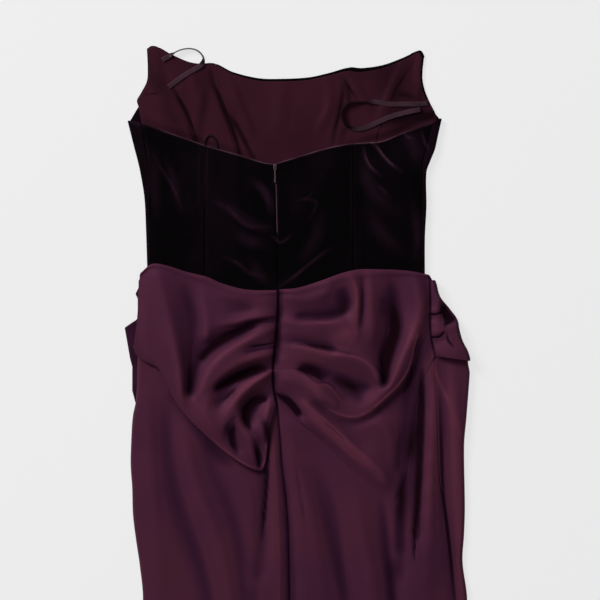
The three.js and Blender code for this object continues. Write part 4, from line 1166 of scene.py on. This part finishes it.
overlayLines = [
    # edges
    [(-204, 354, 3), (-189, 366, 4), (-169, 364, 5), (-144, 356, 3), (-116, 349, 4), (-98, 341, 4),
     (-66, 333, 4), (-30, 331, 3.5)],
    [(-204, 352, 3), (-206, 337, 4), (-208, 296, 4), (-211, 271, 3), (-213, 258, 2)],
    [(-213, 256, 2), (-203, 240, 2.5), (-187, 233, 3), (-173, 216, 4), (-160, 192, 4), (-148, 172, 4.5),
     (-130, 154, 5), (-115, 140, 5.5), (-99, 123, 5.5), (-80, 110, 5.5), (-62, 101, 5), (-48, 98, 3)],
    [(-47, 98, 3), (-42, 108, 3), (-40, 129, 3), (-36, 157, 2.5), (-30, 187, 1.5)],
    [(-26, 333, 3), (-27, 300, 1), (-28, 262, 0.5), (-31, 230, 0.5), (-28, 188, 0.5)],
    [(-22, 333, 3), (-1, 335, 4), (26, 343, 4), (60, 355, 5), (80, 359, 4.5), (110, 359, 5),
     (135, 358, 4), (152, 356, 4), (170, 352, 3)],
    [(171, 350, 2), (172, 315, 2), (172, 280, 2), (174, 262, 2), (178, 248, 1)],
    # tucks at the right hip
    [(174, 347, 4), (178, 337, 5.5), (182, 322, 6), (183, 308, 6)],
    [(173, 304, 5.5), (180, 303.5, 6), (185, 306, 6)],
    [(174, 297, 2.5), (181, 296.5, 3), (187, 297, 3)],
    [(190, 309, -1), (197, 300, -1.5), (204, 293, -0.5)],
    [(192, 300, -1.5), (193, 291, -1)],
    [(176, 290, 5.5), (182, 289, 6.5), (187, 288, 6.5)],
    [(176, 277.5, 6), (182, 276, 6.5), (187, 279, 6.5)],
    [(177, 267, 2.5), (184, 267, 2.5), (191, 272, 3)],
    [(192, 283, 4), (199, 286, 5.5), (206, 288, 5)],
    [(182, 257, 5), (194, 255, 6), (212, 252, 6)],
    [(180, 250.5, 5), (192, 247.5, 6), (207, 243, 6), (220, 240, 4)],
    [(-25, 187, 1), (-10, 173, 2), (5, 159, 2), (24, 142, 0.5), (40, 128, 0), (70, 100, 0), (96, 78, 0),
     (113, 60, 0), (123, 55, 0), (134, 68, 0), (144, 100, 0), (151, 150, 0), (160, 205, 0),
     (177, 245, 0.5)],
    # left side, from the hip to the seam
    [(-182, 356, 7), (-172, 320, 9), (-162, 277, 11), (-156, 250, 12), (-151, 218, 11), (-150, 190, 8),
     (-146, 178, 5)],
    [(-196, 330, 6), (-196, 290, 7), (-190, 258, 6), (-178, 235, 6)],
    [(-146, 338, 2.5), (-140, 316, 0), (-134, 290, -1), (-133, 268, -1), (-133, 245, -2), (-136, 218, -2),
     (-140, 196, -1)],
    [(-124, 332, 4.5), (-121, 305, 6), (-118, 283, 7), (-119, 268, 6)],
    [(-100, 325, 5), (-70, 322, 6), (-40, 318, 5)],
    [(-58, 306, 3.5), (-75, 304, 3), (-90, 303, 4)],
    [(-29, 300, 4.5), (-41, 297.5, 7), (-64, 293.5, 8), (-84, 288.5, 7.5), (-104, 286, 6.5)],
    [(-29, 295, 2), (-41, 293, 3.5), (-64, 289, 3.5)],
    [(-56, 285, 2), (-75, 276, -1.5), (-96, 266.5, -3), (-114, 254, -3), (-124, 243, -1.5)],
    [(-29, 283, 5), (-48, 276, 8), (-68, 266, 10), (-88, 255, 10.5), (-105, 241, 10.5), (-117, 223, 10),
     (-125, 203, 9), (-131, 184, 6)],
    [(-29, 261, 1.5), (-38, 258.5, 3.5), (-54, 256, 4.5), (-66, 252.5, 6)],
    [(-30, 250, 5), (-51, 245, 9), (-72, 237, 10.5), (-90, 226, 10.5), (-104, 213, 9), (-112, 200, 8)],
    [(-38, 229, 1), (-54, 228.5, -2), (-67, 222.5, -3), (-80, 218.5, -2), (-94, 212, 0), (-107, 204, 3)],
    [(-30, 226, 3.5), (-41, 222.5, 8), (-54, 214, 10.5), (-66, 204, 11), (-77, 192, 11), (-87, 176, 10.5),
     (-94, 158, 9.5), (-97, 143, 7.5)],
    [(-78, 207, 5), (-86, 200, 3), (-97, 191, 3), (-103, 182, 4)],
    [(-112, 200, 8), (-118, 180, 9), (-114, 156, 9), (-100, 134, 8), (-84, 118, 7)],
    [(-38, 193, 0), (-53, 189, -3), (-64, 178, -4), (-68, 166, -2), (-64, 154, 1)],
    [(-78, 180, 8), (-72, 160, 9), (-64, 143, 9), (-57, 126, 8), (-53, 110, 5)],
    [(-88, 150, 3), (-84, 137, 2.5), (-77, 124, 3)],
    [(-52, 134, 2), (-48, 116, -1), (-46.5, 106, -1)],
    [(-34, 184, 5), (-40, 165, 6), (-44, 140, 5)],
    # right side: the pleats
    [(-12, 322, 6), (12, 320, 6.5), (34, 328, 7), (44, 338, 6.5)],
    [(2, 296, 1), (20, 295.5, 1), (40, 297, 0.5), (57, 303, 0.5), (66, 316, 1), (61, 331, 2)],
    [(-23, 289, 4), (-3, 291, 7), (22, 291.5, 8), (46, 292.5, 8), (60, 294, 8)],
    [(-20, 276, 4.5), (6, 274, 6), (30, 272, 6.5)],
    [(-16, 264, 2.5), (8, 263.5, 2.5), (30, 257.5, 2.5), (46, 254, 3.5)],
    [(68, 350, 6), (76.5, 334, 8.5), (78.5, 312, 10), (77.5, 292, 10), (75, 274, 9.5), (64, 262, 8.5),
     (50, 264, 7.5)],
    [(-18, 258, 4), (7, 258.5, 7), (29, 251.5, 8.5), (52, 246.5, 9.5), (75, 244.5, 10), (91, 238, 10),
     (103, 227, 9.5), (108, 215, 8)],
    [(-20, 242, 5), (10, 240, 6), (36, 234, 6)],
    [(6, 229, 0), (21, 226, -2.5), (36, 218, 0)],
    [(48, 214, 2), (70, 207, 0), (92, 204, 0)],
    [(60, 192, 2), (84, 190, 2.5)],
    [(-24, 226, 3.5), (-3, 226, 7), (10, 220, 9), (22, 213, 9.5), (32, 203, 9), (40, 192, 8), (50, 182, 7)],
    [(-18, 216, 6), (3, 213, 8), (20, 203, 8.5), (32, 188, 8)],
    [(-22, 191, -1), (-10, 182, -1), (4, 168.5, -1)],
    # the long band, and the flat cloth beside it
    [(5, 192, 5), (12, 184, 6.5), (29, 169, 7), (49, 149, 7), (71, 127, 7), (91, 110, 6.5),
     (107, 97, 5.5), (114, 80, 3.5)],
    [(22, 185, 3), (33, 175, 2), (54, 156, 2.5), (76, 135, 3), (88, 124, 4)],
    [(80, 150, 4), (108, 160, 4.5), (122, 140, 4), (124, 100, 2.5)],
    [(140, 190, 0), (137, 150, -1), (134, 100, -1)],
    # folds from the waist round to the upper hem
    [(85, 348, 3.5), (85.5, 322, 3.5), (84.5, 303, 4), (82, 284, 5.5)],
    [(93, 353, 6), (94, 325, 8), (96, 300, 8), (97, 275, 7.5), (94, 256, 6.5)],
    [(121, 346, 3.5), (124, 328, 0.5), (125, 300, -2), (127, 280, -3), (121, 256, -3), (115, 236, -3),
     (114.5, 210, -2)],
    [(152, 350, 5.5), (159, 325, 8), (159, 302, 9), (152, 282, 10), (142, 258, 10.5), (134, 239, 10.5),
     (124, 216, 9.5), (108, 194, 8), (92, 180, 6.5)],
    [(42, 176, 4.5), (55, 169.5, 4.5), (72, 166.5, 4.5), (88, 171, 5), (104, 182, 5.5), (117, 194, 6),
     (130, 207, 6), (141, 223, 6.5), (147, 238, 7), (152, 258, 7.5), (157, 272, 8)],
    [(44, 169, 3.5), (55, 163, 2.5), (72, 160, 2), (91, 164.5, 2), (108, 176, 1.5), (122, 188, 1.5),
     (135, 201, 1), (147, 219, 1), (153, 237, 1), (158, 256, 1.5), (164, 272, 3.5)],
]
overlayCreases = [
    (-1.8, 2.2, 3, 0.5, 0.4, 0.1, [(-28, 296), (-41, 294), (-64, 290), (-81, 284.5), (-103, 283.5)]),
    (-1.8, 2.2, 3, 0.5, 0.4, 0.1, [(-28, 263.5), (-38, 261), (-54, 258.7), (-66, 256.8)]),
    (-1.4, 3, 1.5, 0.5, 0.3, 0.1, [(-10, 263), (12, 260), (29, 256), (60, 250.5), (84, 245), (98, 234)]),
    (-1.4, 3, 1.5, 0.5, 0.3, 0.1, [(-24, 228.5), (4, 228), (15, 220), (26, 212), (41, 210), (52, 199),
                                   (60, 186)]),
    (-1.5, 2.5, 2.5, 0.5, 0.2, 0.1, bandCrease),
    (-1.0, 2.5, 2.5, 0.5, 0.2, 0.1, [(84.6, 346), (85.4, 322), (84.4, 303), (81, 281)]),
    (-2.4, 1.6, 1.8, 0.4, 1.0, 0.9, upperTuck),
    (-2.4, 1.8, 1.6, 0.4, 0.9, 0.8, lowerTuck),
    (-1.0, 3, 2, 0.2, 0.4, 0.3, hipCrease),
    # the upper hem's turned edge
    (1.5, 4, 1.6, 0.3, 0.5, 0.4, [(42, 175), (55, 168.5), (72, 165.5), (88, 170), (104, 181),
                                  (117.5, 193), (131, 206), (142, 222), (148.5, 238), (153, 258),
                                  (157.5, 273)]),
]
overlayShadows = [
    # shade, and light where the first figure is negative, of the folds on the left
    (0.9, 3, 3, 0.4, 1.0, 1.0, [(-25, 333), (-26, 296), (-28, 274), (-31, 243), (-32, 227), (-31, 204),
                                (-28, 187)]),
    (0.5, 7, 3, 0.0, 0.6, 0.5, [(-22, 330), (-23, 300), (-25, 270), (-28, 240)]),
    (0.6, 2, 6, 0.3, 0.6, 0.4, [(-28, 292), (-41, 291), (-64, 287), (-76, 282)]),
    (0.6, 2, 5, 0.3, 0.6, 0.4, [(-28, 258), (-40, 256), (-56, 253), (-68, 250)]),
    (0.9, 7, 7, 0.2, 0.2, 0.4, [(-40, 290), (-66, 283), (-92, 271), (-112, 258), (-124, 244)]),
    (1.5, 3.5, 11, 0.15, 0.4, 0.2, [(-42, 227), (-54, 223.5), (-68, 219.5), (-82, 213.5), (-96, 207),
                                    (-111, 200)]),
    (-0.9, 3, 1.2, 0.3, 0.8, 0.2, [(-32, 229), (-49, 220), (-66, 212), (-79, 202)]),
    (0.9, 3, 3, 0.2, 0.4, 0.2, [(-76, 208), (-87, 197.5), (-100, 186)]),
    (0.7, 2.5, 2.5, 0.3, 0.3, 0.5, [(-40, 217), (-56, 209), (-63, 197)]),
    (1.7, 5, 7, 0.1, 0.7, 0.4, [(-43, 189.5), (-54, 187), (-63, 180), (-67, 170), (-64.5, 158),
                                (-62, 153)]),
    (1.1, 9, 9, 0.0, 0.4, 0.9, [(-45, 168), (-41, 154), (-38, 138)]),
    (-0.7, 1.5, 1.5, 0.3, 0.5, 0.8, [(-60, 150), (-52, 137), (-46, 124), (-43, 111), (-44, 101)]),
    (1.2, 4, 6, 0.1, 0.4, 0.9, [(-55, 130), (-52, 119), (-50, 109), (-50, 101)]),
    (1.0, 6, 7, 0.0, 0.3, 0.3, [(-80, 164), (-84, 148), (-84, 134), (-79, 121)]),
    (0.6, 6, 6, 0.0, 0.3, 0.3, [(-71, 179), (-83, 167), (-91, 157), (-96, 144)]),
    (-1.0, 2.5, 2.5, 0.3, 0.1, 0.7, [(-122, 149), (-108, 137), (-93, 123.5), (-63, 104), (-50, 100.5)]),
    (-0.22, 14, 16, 0.0, 0.3, 0.6, [(-152, 336), (-144, 310), (-137, 267), (-137, 230), (-139, 197)]),
    (0.25, 6, 8, 0.0, 0.3, 0.5, [(-146, 250), (-142, 225), (-142, 197)]),
    # of the pleats on the right
    (0.3, 17, 3, 0.2, 0.6, 0.3, [(-2, 294), (20, 293.5), (42, 294), (58, 299), (69, 309), (73, 321),
                                 (66, 335)]),
    (0.3, 14, 14, 0.0, 0.3, 0.3, [(46, 334), (56, 322), (58, 308)]),
    (-0.6, 1.2, 3, 0.3, 0.3, 0.3, [(22, 290.5), (36, 290.3), (50, 291)]),
    (0.35, 10, 10, 0.0, 0.3, 0.3, [(110, 330), (109, 312), (108, 292)]),
    (-0.6, 9, 7, 0.0, 0.3, 0.5, [(165, 345), (164, 322), (162, 299), (153, 281), (143, 258)]),
    (0.3, 14, 12, 0.0, 0.3, 0.3, [(-112, 320), (-84, 318), (-54, 315)]),
    (-0.6, 4, 4, 0.1, 0.3, 0.5, [(68, 352), (77, 334), (78.5, 312), (77.5, 290), (75, 272), (66, 260)]),
    (0.5, 6, 1, 0.2, 0.4, 0.2, [(-4, 266), (8, 263), (24, 259), (44, 256), (60, 253)]),
    (-0.9, 1.3, 3.5, 0.3, 0.4, 0.3, [(-8, 261), (12, 257.5), (29, 253.5), (60, 248), (83, 243),
                                     (96, 232.5), (104, 213), (106, 201)]),
    (0.6, 1.5, 3, 0.2, 0.4, 0.4, [(96, 241), (106, 229), (112, 218)]),
    (-0.6, 1.3, 1.3, 0.2, 0.4, 0.4, [(98, 243), (108, 231), (114, 219)]),
    (0.95, 4, 5, 0.1, 0.6, 0.4, [(3, 229), (13, 227), (22, 223), (30, 217)]),
    (0.5, 14, 14, 0.0, 0.4, 0.5, [(42, 222), (58, 214), (72, 204), (80, 190)]),
    (-0.8, 1.3, 3, 0.3, 0.5, 0.4, [(4, 226), (14, 218), (25, 210), (40, 208), (50, 198), (58, 185),
                                   (55, 176)]),
    (0.42, 17, 20, 0.0, 0.2, 0.6, [(124, 334), (127, 306), (131, 282), (122, 254), (114, 236), (113, 207)]),
    (0.18, 12, 11, 0.0, 0.4, 0.9, [(124, 328), (123, 300), (122, 278), (115, 256), (112, 238), (113, 205)]),
    (0.8, 1.5, 2, 0.3, 0.4, 0.3, [(157, 277), (155, 264), (151, 247)]),
    (-0.6, 14, 14, 0.0, 0.5, 0.4, [(52, 272), (64, 276), (72, 280)]),
    (-0.5, 9, 9, 0.0, 0.5, 0.4, [(10, 212), (22, 204), (30, 192)]),
    # of the upper hem and the small opening at the seam
    (-1.2, 2.4, 1.8, 0.3, 0.6, 0.6, [(48, 174), (62.5, 168.5), (77, 167.5), (92, 172.5), (106, 186),
                                     (121, 199.5), (137, 216), (147, 238), (152, 259), (157, 273)]),
    (0.25, 1.5, 6, 0.3, 0.4, 0.4, [(56, 164), (76, 162), (94, 167), (108, 179), (123, 192), (138, 207),
                                   (149, 230)]),
    (0.9, 1.3, 1.3, 0.4, 0.5, 0.6, [(149, 236), (148, 224), (146, 212), (137, 197)]),
    (1.2, 3, 3, 0.2, 0.8, 0.6, [(-26, 197), (-19, 192), (-12, 187)]),
    (2.8, 6, 6, 0.1, 0.2, 1.0, [(-20, 194), (-11, 187), (-4, 180), (1, 173)]),
    # of the long band
    (-1.3, 8, 18, 0.1, 0.5, 0.3, [(8, 186), (27, 167), (50, 147.5), (68, 130), (90, 110), (108, 92)]),
    (1.3, 1.6, 1.6, 0.4, 0.4, 0.3, bandCrease),
    (0.4, 16, 12, 0.0, 0.3, 0.5, [(148, 262), (144, 200), (140, 150), (132, 96)]),
    # of the tucks at the right hip
    (1.5, 7, 7, 0.1, 0.4, 0.7, [(186, 314), (191, 303), (196, 294)]),
    (1.3, 5, 5, 0.1, 0.7, 0.6, [(191, 287), (197, 291), (203, 295)]),
    (1.2, 1.6, 1.8, 0.4, 1.0, 0.9, upperTuck),
    (1.3, 1.8, 1.6, 0.4, 0.9, 0.8, lowerTuck),
    (-0.8, 1.4, 2.2, 0.3, 0.6, 0.6, [(188.6, 300), (189, 289), (188.2, 280)]),
    (0.5, 3, 3, 0.1, 0.4, 0.3, hipCrease),
    (0.8, 2, 2, 0.3, 1.0, 1.0, [(172, 352), (172.5, 315), (172.5, 280), (175, 262), (178, 248)]),
]


overlayDrape = Drape(overlayLines, (-234, 30, 234, 378), 1.5, 7, 60)


def overlayShade(x, y):
    # painted shade and highlight: the drape's depth, the shadow rows and darker creases
    deep = foldField(overlayShadows, x, y) - 0.4 * foldField(overlayCreases, x, y)
    return np.clip(overlayDrape.hollow(x, y, 4.4) + deep, -1, 1)


def overlayRise(x, y):
    rise = foldDepth["overlay"] * overlayDrape.at(x, y) + foldField(overlayCreases, x, y)
    return np.maximum(rise + ripple(x, y, 0.25, 40, 7), 0.0)


def blendedShade(x, y):
    # near its lower edge the right swag has the skirt's shade
    share = np.where(x > 20, ramp(insideRightSwag(x, y), 0, 14 * ramp(x, 20, 60) + 0.5), 1.0)
    return share * overlayShade(x, y) + (1 - share) * skirtShade(x, y)


def makeSwag(name, node, shape, columns, rows, lift, shade):
    # lift gives how far the swag's face lies above the skirt's, before its own folds
    def top(x, y, u, v):
        fromTurn = (v - overlay["turnAt"]) / overlay["turnWidth"]
        turned = overlay["topTurn"] * np.exp(-(fromTurn ** 2))
        return openSkirtTop(x, y) + lift(x, y) + overlayRise(x, y) + turned

    layCloth(name, node, "satin", shape, shares(columns), shares(rows), top, cloth["satin"], satin,
             lambda x, y, u, v: shade(x, y))


def makeOverlay():
    centreLow, room = overlay["centreLow"], overlay["centreRoom"]
    thick = cloth["satin"] + cloth["gap"]
    left = patch(acrossRim(leftOverlayTop, -204, -25), route(leftSwag),
                 downSeam(leftOverlaySide, *overlay["leftSide"]),
                 downSeam(centreBack, overlay["centreLeft"], centreLow, -halfGap - room))
    right = patch(acrossRim(rightOverlayTop, -25, 171), route(rightSwag),
                  downSeam(centreBack, overlay["centreRight"], centreLow, halfGap + room),
                  downSeam(sideSeam, *overlay["sideSeam"], -halfGap))

    def flush(x, y):
        # the right swag lies on the skirt at the waist and level with it below
        return thick * ramp(y, 300, 350) - 0.2 * ramp(-insideRightSwag(x, y), -2, 0)

    makeSwag("overlayLeft", "drape_back_left", left, 130, 120, lambda x, y: thick, overlayShade)
    makeSwag("overlayRight", "drape_back_right", right, 140, 150, flush, blendedShade)

    top = cloth["waist"] - halfGap

    def pleats(t):
        y = top + (cloth["overlayHem"] - top) * np.asarray(t, float)
        return np.stack([np.interp(y, *np.array(sorted(pleatEnds)).T), y], axis=-1)

    def tuckTop(x, y):
        return openSkirtTop(x, y) + cloth["satin"] + cloth["overlayRest"] + overlayRise(x, y)

    def underLow(x, y):
        return ramp(-x, 200, 212) * (1.2 + ripple(x, y, 0.8, 30, 2))

    foldUpper = downSeam(lambda y: hipRight(y) - cloth["skirtFold"], top, overlay["tuckLow"])
    seamOnBack = downSeam(sideSeam, *overlay["sideSeam"], halfGap)
    wrapCloth("overlayFront", "drape_front", "satin", cloth["satin"], satin, 1, cloth["skirtFold"],
              between(seamOnBack, foldUpper), between(foldUpper, pleats), (tuckTop, underLow),
              (34, 12, 106), shares(110), overlayShade, overlay["turnedShade"])


makeOverlay()
print("overlay laid out")


# hanger ribbons and eye loop

trim = {"ribbonWidth": 6.5, "ribbonWall": 0.6, "loopWidth": 2.7}
ribbonLook = {
    "face": linear(62, 41, 51), "shade": linear(20, 10, 15),
    "cordFace": linear(16, 8, 12), "cordShade": linear(12, 6, 10),
    "shine": linear(220, 170, 195), "sheen": linear(180, 140, 160),
    "roughness": 0.45, "weave": (1500, 1500, 500), "weaveDepth": 0.00004,
}

rightRibbon = [(170, 575, 5.4), (157, 574, 5.4), (143, 574, 5.4), (120, 574, 5.4), (99, 577, 5.4),
               (81, 577, 6.4), (65, 575, 8.2), (59, 569, 8.2), (57, 560, 8.2), (61, 549, 8.2),
               (72, 542, 6.2), (83, 542, 5.4), (93, 545, 5.4), (106, 551, 5.4), (120, 557, 5.4),
               (137, 562, 5.8), (160, 567, 6.6)]
leftRibbon = [(-176, 631, 5.6), (-169, 635, 5.8), (-161, 640, 5.8), (-153, 644, 4.8), (-145, 646, 4.0),
              (-138, 646, 3.8), (-131, 644, 4.4), (-125, 639, 6.0), (-122, 633, 7.6), (-124, 626, 7.0),
              (-129, 622, 5.6), (-141, 615, 5.4), (-153, 607, 5.4), (-161, 601, 5.4), (-168, 596, 5.4)]
eyeLoop = [(-122, 518, 4.8), (-120, 528, 4.8), (-116, 533, 4.8), (-111, 532.5, 4.8), (-107, 528, 4.8),
           (-105, 521, 4.8), (-104, 512, 4.8)]


def ribbonMaterial(name, face, shade):
    n = Nodes(name)
    weave = n.bump(n.noise(1.0, 1.0, 0.5, ribbonLook["weave"]), ribbonLook["weaveDepth"], 0.4)
    wear = n.ramp(n.noise(38.0, 2.0), 0.36, 0.66, 0.0, 0.55)
    # random wear and, where the ribbon stands on its edge, painted shade both mix toward the shade colour
    colour = n.mix(n.math("MAXIMUM", wear, n.ramp(n.attribute("hollow"), 0.0, 0.8)), face, shade)
    n.set(Base_Color=colour, Roughness=ribbonLook["roughness"], Normal=weave)
    n.set(Specular_IOR_Level=0.3, Specular_Tint=ribbonLook["shine"], Sheen_Weight=0.05,
          Sheen_Roughness=0.3, Sheen_Tint=ribbonLook["sheen"])
    return n.material


def meshFrom(name, rings, material, hollow=()):
    # a closed tube from rings of points, with both ends filled
    count, around = len(rings), len(rings[0])
    points = [tuple(p * mm) for ring in rings for p in ring]
    faces = []
    for i in range(count - 1):
        for j in range(around):
            k = (j + 1) % around
            faces.append((i * around + j, i * around + k, (i + 1) * around + k, (i + 1) * around + j))
    faces.append(tuple(reversed(range(around))))
    faces.append(tuple(range((count - 1) * around, count * around)))
    mesh = bpy.data.meshes.new(name)
    mesh.from_pydata(points, [], faces)
    mesh.validate()
    mesh.shade_smooth()
    mesh.materials.append(material)
    # the hollow attribute carries painted shade
    if len(hollow):
        layer = mesh.attributes.new("hollow", "FLOAT", "POINT")
        layer.data.foreach_set("value", np.repeat(np.array(hollow, np.float32), around))
    obj = bpy.data.objects.new(name, mesh)
    scene.collection.objects.link(obj)
    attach(obj, "gown")
    return obj


def roundedSection(count, power):
    # points round a square of half width 1; its corners are sharper the lower the power
    around = [(math.cos(a), math.sin(a)) for a in np.linspace(0, math.tau, count, endpoint=False)]
    return [(np.sign(c) * abs(c) ** power, np.sign(s) * abs(s) ** power) for c, s in around]


def stripRings(points, width, wall, lean):
    # rings of a flat strip along a line; lean gives how far it stands on edge, in turns
    line = softLine(points, 160)
    rings = []
    section = roundedSection(16, 0.5)
    for i, p in enumerate(line):
        ahead = line[min(i + 1, len(line) - 1)] - line[max(i - 1, 0)]
        ahead /= np.linalg.norm(ahead)
        flat = np.cross((0, 0, 1), ahead)
        flat /= np.linalg.norm(flat)
        up = np.cross(ahead, flat)
        turn = math.tau * lean(i / (len(line) - 1))
        wide = flat * math.cos(turn) + up * math.sin(turn)
        thin = np.cross(ahead, wide)
        rings.append([p + wide * c * width / 2 + thin * s * wall / 2 for c, s in section])
    return line, rings


def addRibbon(name, node, points, material, lean):
    line, rings = stripRings(points, trim["ribbonWidth"], trim["ribbonWall"], lean)
    # painted shade where the ribbon stands on its edge
    edgeOnShade = [abs(math.sin(math.tau * lean(i / (len(line) - 1)))) for i in range(len(line))]
    obj = meshFrom(name, rings, material, edgeOnShade)
    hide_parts(node)
    length = np.linalg.norm(np.diff(line, axis=0), axis=1).sum()
    [tuple(p * mm) for p in line]


def turnedFrom(start, end, most):
    # flat at both ends, standing near its edge between start and end
    return lambda t: most * float(ramp(t, start - 0.1, start)) * float(ramp(-t, -end - 0.1, -end))


def neverTurned(t):
    return 0.0


ribbonSatin = ribbonMaterial("mauveRibbon", ribbonLook["face"], ribbonLook["shade"])
addRibbon("hangerLoopRight", "hanger_loop_right", rightRibbon, ribbonSatin, turnedFrom(0.36, 0.56, 0.2))
addRibbon("hangerLoopLeft", "hanger_loop_left", leftRibbon, ribbonSatin, turnedFrom(0.16, 0.5, -0.2))


def makeEyeLoop():
    _, rings = stripRings(eyeLoop, trim["loopWidth"], trim["loopWidth"], neverTurned)
    cord = ribbonMaterial("darkCord", ribbonLook["cordFace"], ribbonLook["cordShade"])
    obj = meshFrom("eyeLoop", rings, cord)
    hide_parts("eye_loop")


makeEyeLoop()
print("loops in place")


# zip

zipLook = {
    "metal": linear(92, 70, 79), "metalRoughness": 0.45,
    "tape": linear(30, 18, 26), "tapeShade": linear(18, 10, 15), "weave": (2200, 2200, 800),
}
zipSize = {
    "pivot": (-29.0, 492.0, 10.3),
    "tapeWidth": 8.0, "tapeWall": 0.7, "tapeTop": 5.8, "tapeLow": 330.0,
    "coil": 0.2, "coilWidth": 1.4, "coilPitch": 2.5,
    "plate": (4.6, 7.6, 0.7), "bridge": 1.0,
    "archReach": 1.35, "archRise": 2.35, "archWidth": 1.6, "archWall": 0.5,
    "wire": 0.45, "pullLength": 21.0, "pullWidth": 2.6,
    "slope": 0.045,  # how far the pull leans down towards its end, in radians
}


def tapeMaterial():
    n = Nodes("zipTapeWeave")
    weave = n.noise(1.0, 1.0, 0.5, zipLook["weave"])
    colour = n.mix(n.ramp(weave, 0.35, 0.65), zipLook["tape"], zipLook["tapeShade"])
    n.set(Base_Color=colour, Normal=n.bump(weave, 0.00008, 0.6), Roughness=0.8, Specular_IOR_Level=0.2)
    return n.material


def makeZipTape():
    # woven tape under the back seam, with the closed coil as a small ribbed ridge
    _, start, _ = zipSize["pivot"]
    low, half = zipSize["tapeLow"], zipSize["tapeWidth"] / 2

    def top(x, y, u, v):
        ribs = 0.6 + 0.4 * np.cos(math.tau * y / zipSize["coilPitch"])
        fromMiddle = (u - 0.5) * zipSize["tapeWidth"] / zipSize["coilWidth"]
        return zipSize["tapeTop"] + zipSize["coil"] * ribs * np.exp(-(fromMiddle ** 2))

    edges = between(downSeam(centreBack, start, low, -half), downSeam(centreBack, start, low, half))
    layCloth("zipTape", "zip_tape", "zip_tape", edges, shares(12), shares(320), top,
             zipSize["tapeWall"], tapeMaterial())


def metalMaterial():
    n = Nodes("zipMetal")
    rough = zipLook["metalRoughness"]
    n.set(Base_Color=zipLook["metal"], Metallic=0.85, Normal=n.bump(n.noise(900.0, 2.0), 0.00003, 0.5),
          Roughness=n.ramp(n.noise(300.0, 2.0), 0.3, 0.7, rough, rough + 0.15))
    return n.material


def ringsAlong(points, widths, heights):
    # rounded rings along a line that runs down the gown, with its own width and height at each point
    rings = []
    wide = np.array([1.0, 0.0, 0.0])
    section = roundedSection(20, 0.6)
    for p, ahead, width, height in zip(points, np.gradient(np.array(points), axis=0), widths, heights):
        high = np.cross(wide, ahead / np.linalg.norm(ahead))
        rings.append([p + wide * c * width / 2 + high * s * height / 2 for c, s in section])
    return rings


def joinPieces(name, parts, body, node):
    # several closed metal forms as one piece
    bpy.ops.object.select_all(action="DESELECT")
    for part in parts:
        part.select_set(True)
    bpy.context.view_layer.objects.active = parts[0]
    bpy.ops.object.join()
    parts[0].name = name
    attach(parts[0], body)
    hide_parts(node)


def makeZip():
    x, y, z = zipSize["pivot"]
    metal = metalMaterial()
    width, length, wall = zipSize["plate"]

    # slider: a domed plate with a small bridge over it
    along = np.linspace(-1, 1, 15)
    plateZ = z - zipSize["bridge"] - wall / 2
    plateLine = [np.array([x, y - a * length / 2, plateZ]) for a in along]
    plateWidths = width * (1 - 0.35 * np.abs(along) ** 3)
    plateWalls = wall * (1 - 0.3 * np.abs(along) ** 6)
    plate = meshFrom("plate", ringsAlong(plateLine, plateWidths, plateWalls), metal)
    turn = np.linspace(0, math.pi, 17)
    arch = [np.array([x, y + zipSize["archReach"] * math.cos(a), plateZ + zipSize["archRise"] * math.sin(a)])
            for a in turn]
    archRings = ringsAlong(arch, [zipSize["archWidth"]] * len(turn), [zipSize["archWall"]] * len(turn))
    bridge = meshFrom("bridge", archRings, metal)
    joinPieces("zipSlider", [plate, bridge], "gown", "zip_slider")

    # pull: a loop of wire round the bridge, running into a flat bar that widens towards its end
    slope = zipSize["slope"]

    def down(distance, aside=0.0):
        return np.array([x + aside, y - distance * math.cos(slope), z - distance * math.sin(slope)])

    half = zipSize["pullWidth"] / 2
    oneSide = [(0.0, 0.7), (0.9, 1.0), (2.4, 1.0), (3.6, 0.8)]
    loop = [down(0.1)] + [down(distance, half * share) for distance, share in oneSide]
    loop += [down(4.2)] + [down(distance, -half * share) for distance, share in oneSide[::-1]] + [down(0.1)]
    _, wireRings = stripRings(loop, 2 * zipSize["wire"], 2 * zipSize["wire"], neverTurned)
    eye = meshFrom("wire", wireRings[:-1], metal)
    # distance from the bridge, width and thickness down the bar
    stations = [(4.0, 1.2, 0.5), (4.3, 1.9, 0.8), (5.0, 2.2, 0.8), (6.0, 2.2, 0.8), (9.0, 2.1, 0.8),
                (13.0, 2.2, 0.8), (16.0, 2.5, 0.8), (17.2, 2.6, 0.8), (18.2, 2.6, 0.8), (19.2, 2.5, 0.8),
                (20.0, 2.1, 0.8), (20.6, 1.5, 0.8), (zipSize["pullLength"], 0.5, 0.5)]
    distances, widths, heights = zip(*stations)
    bar = meshFrom("bar", ringsAlong([down(q) for q in distances], widths, heights), metal)
    joinPieces("zipPull", [bar, eye], "pull", "zip_pull")


makeZipTape()
makeZip()
print("zip in place")
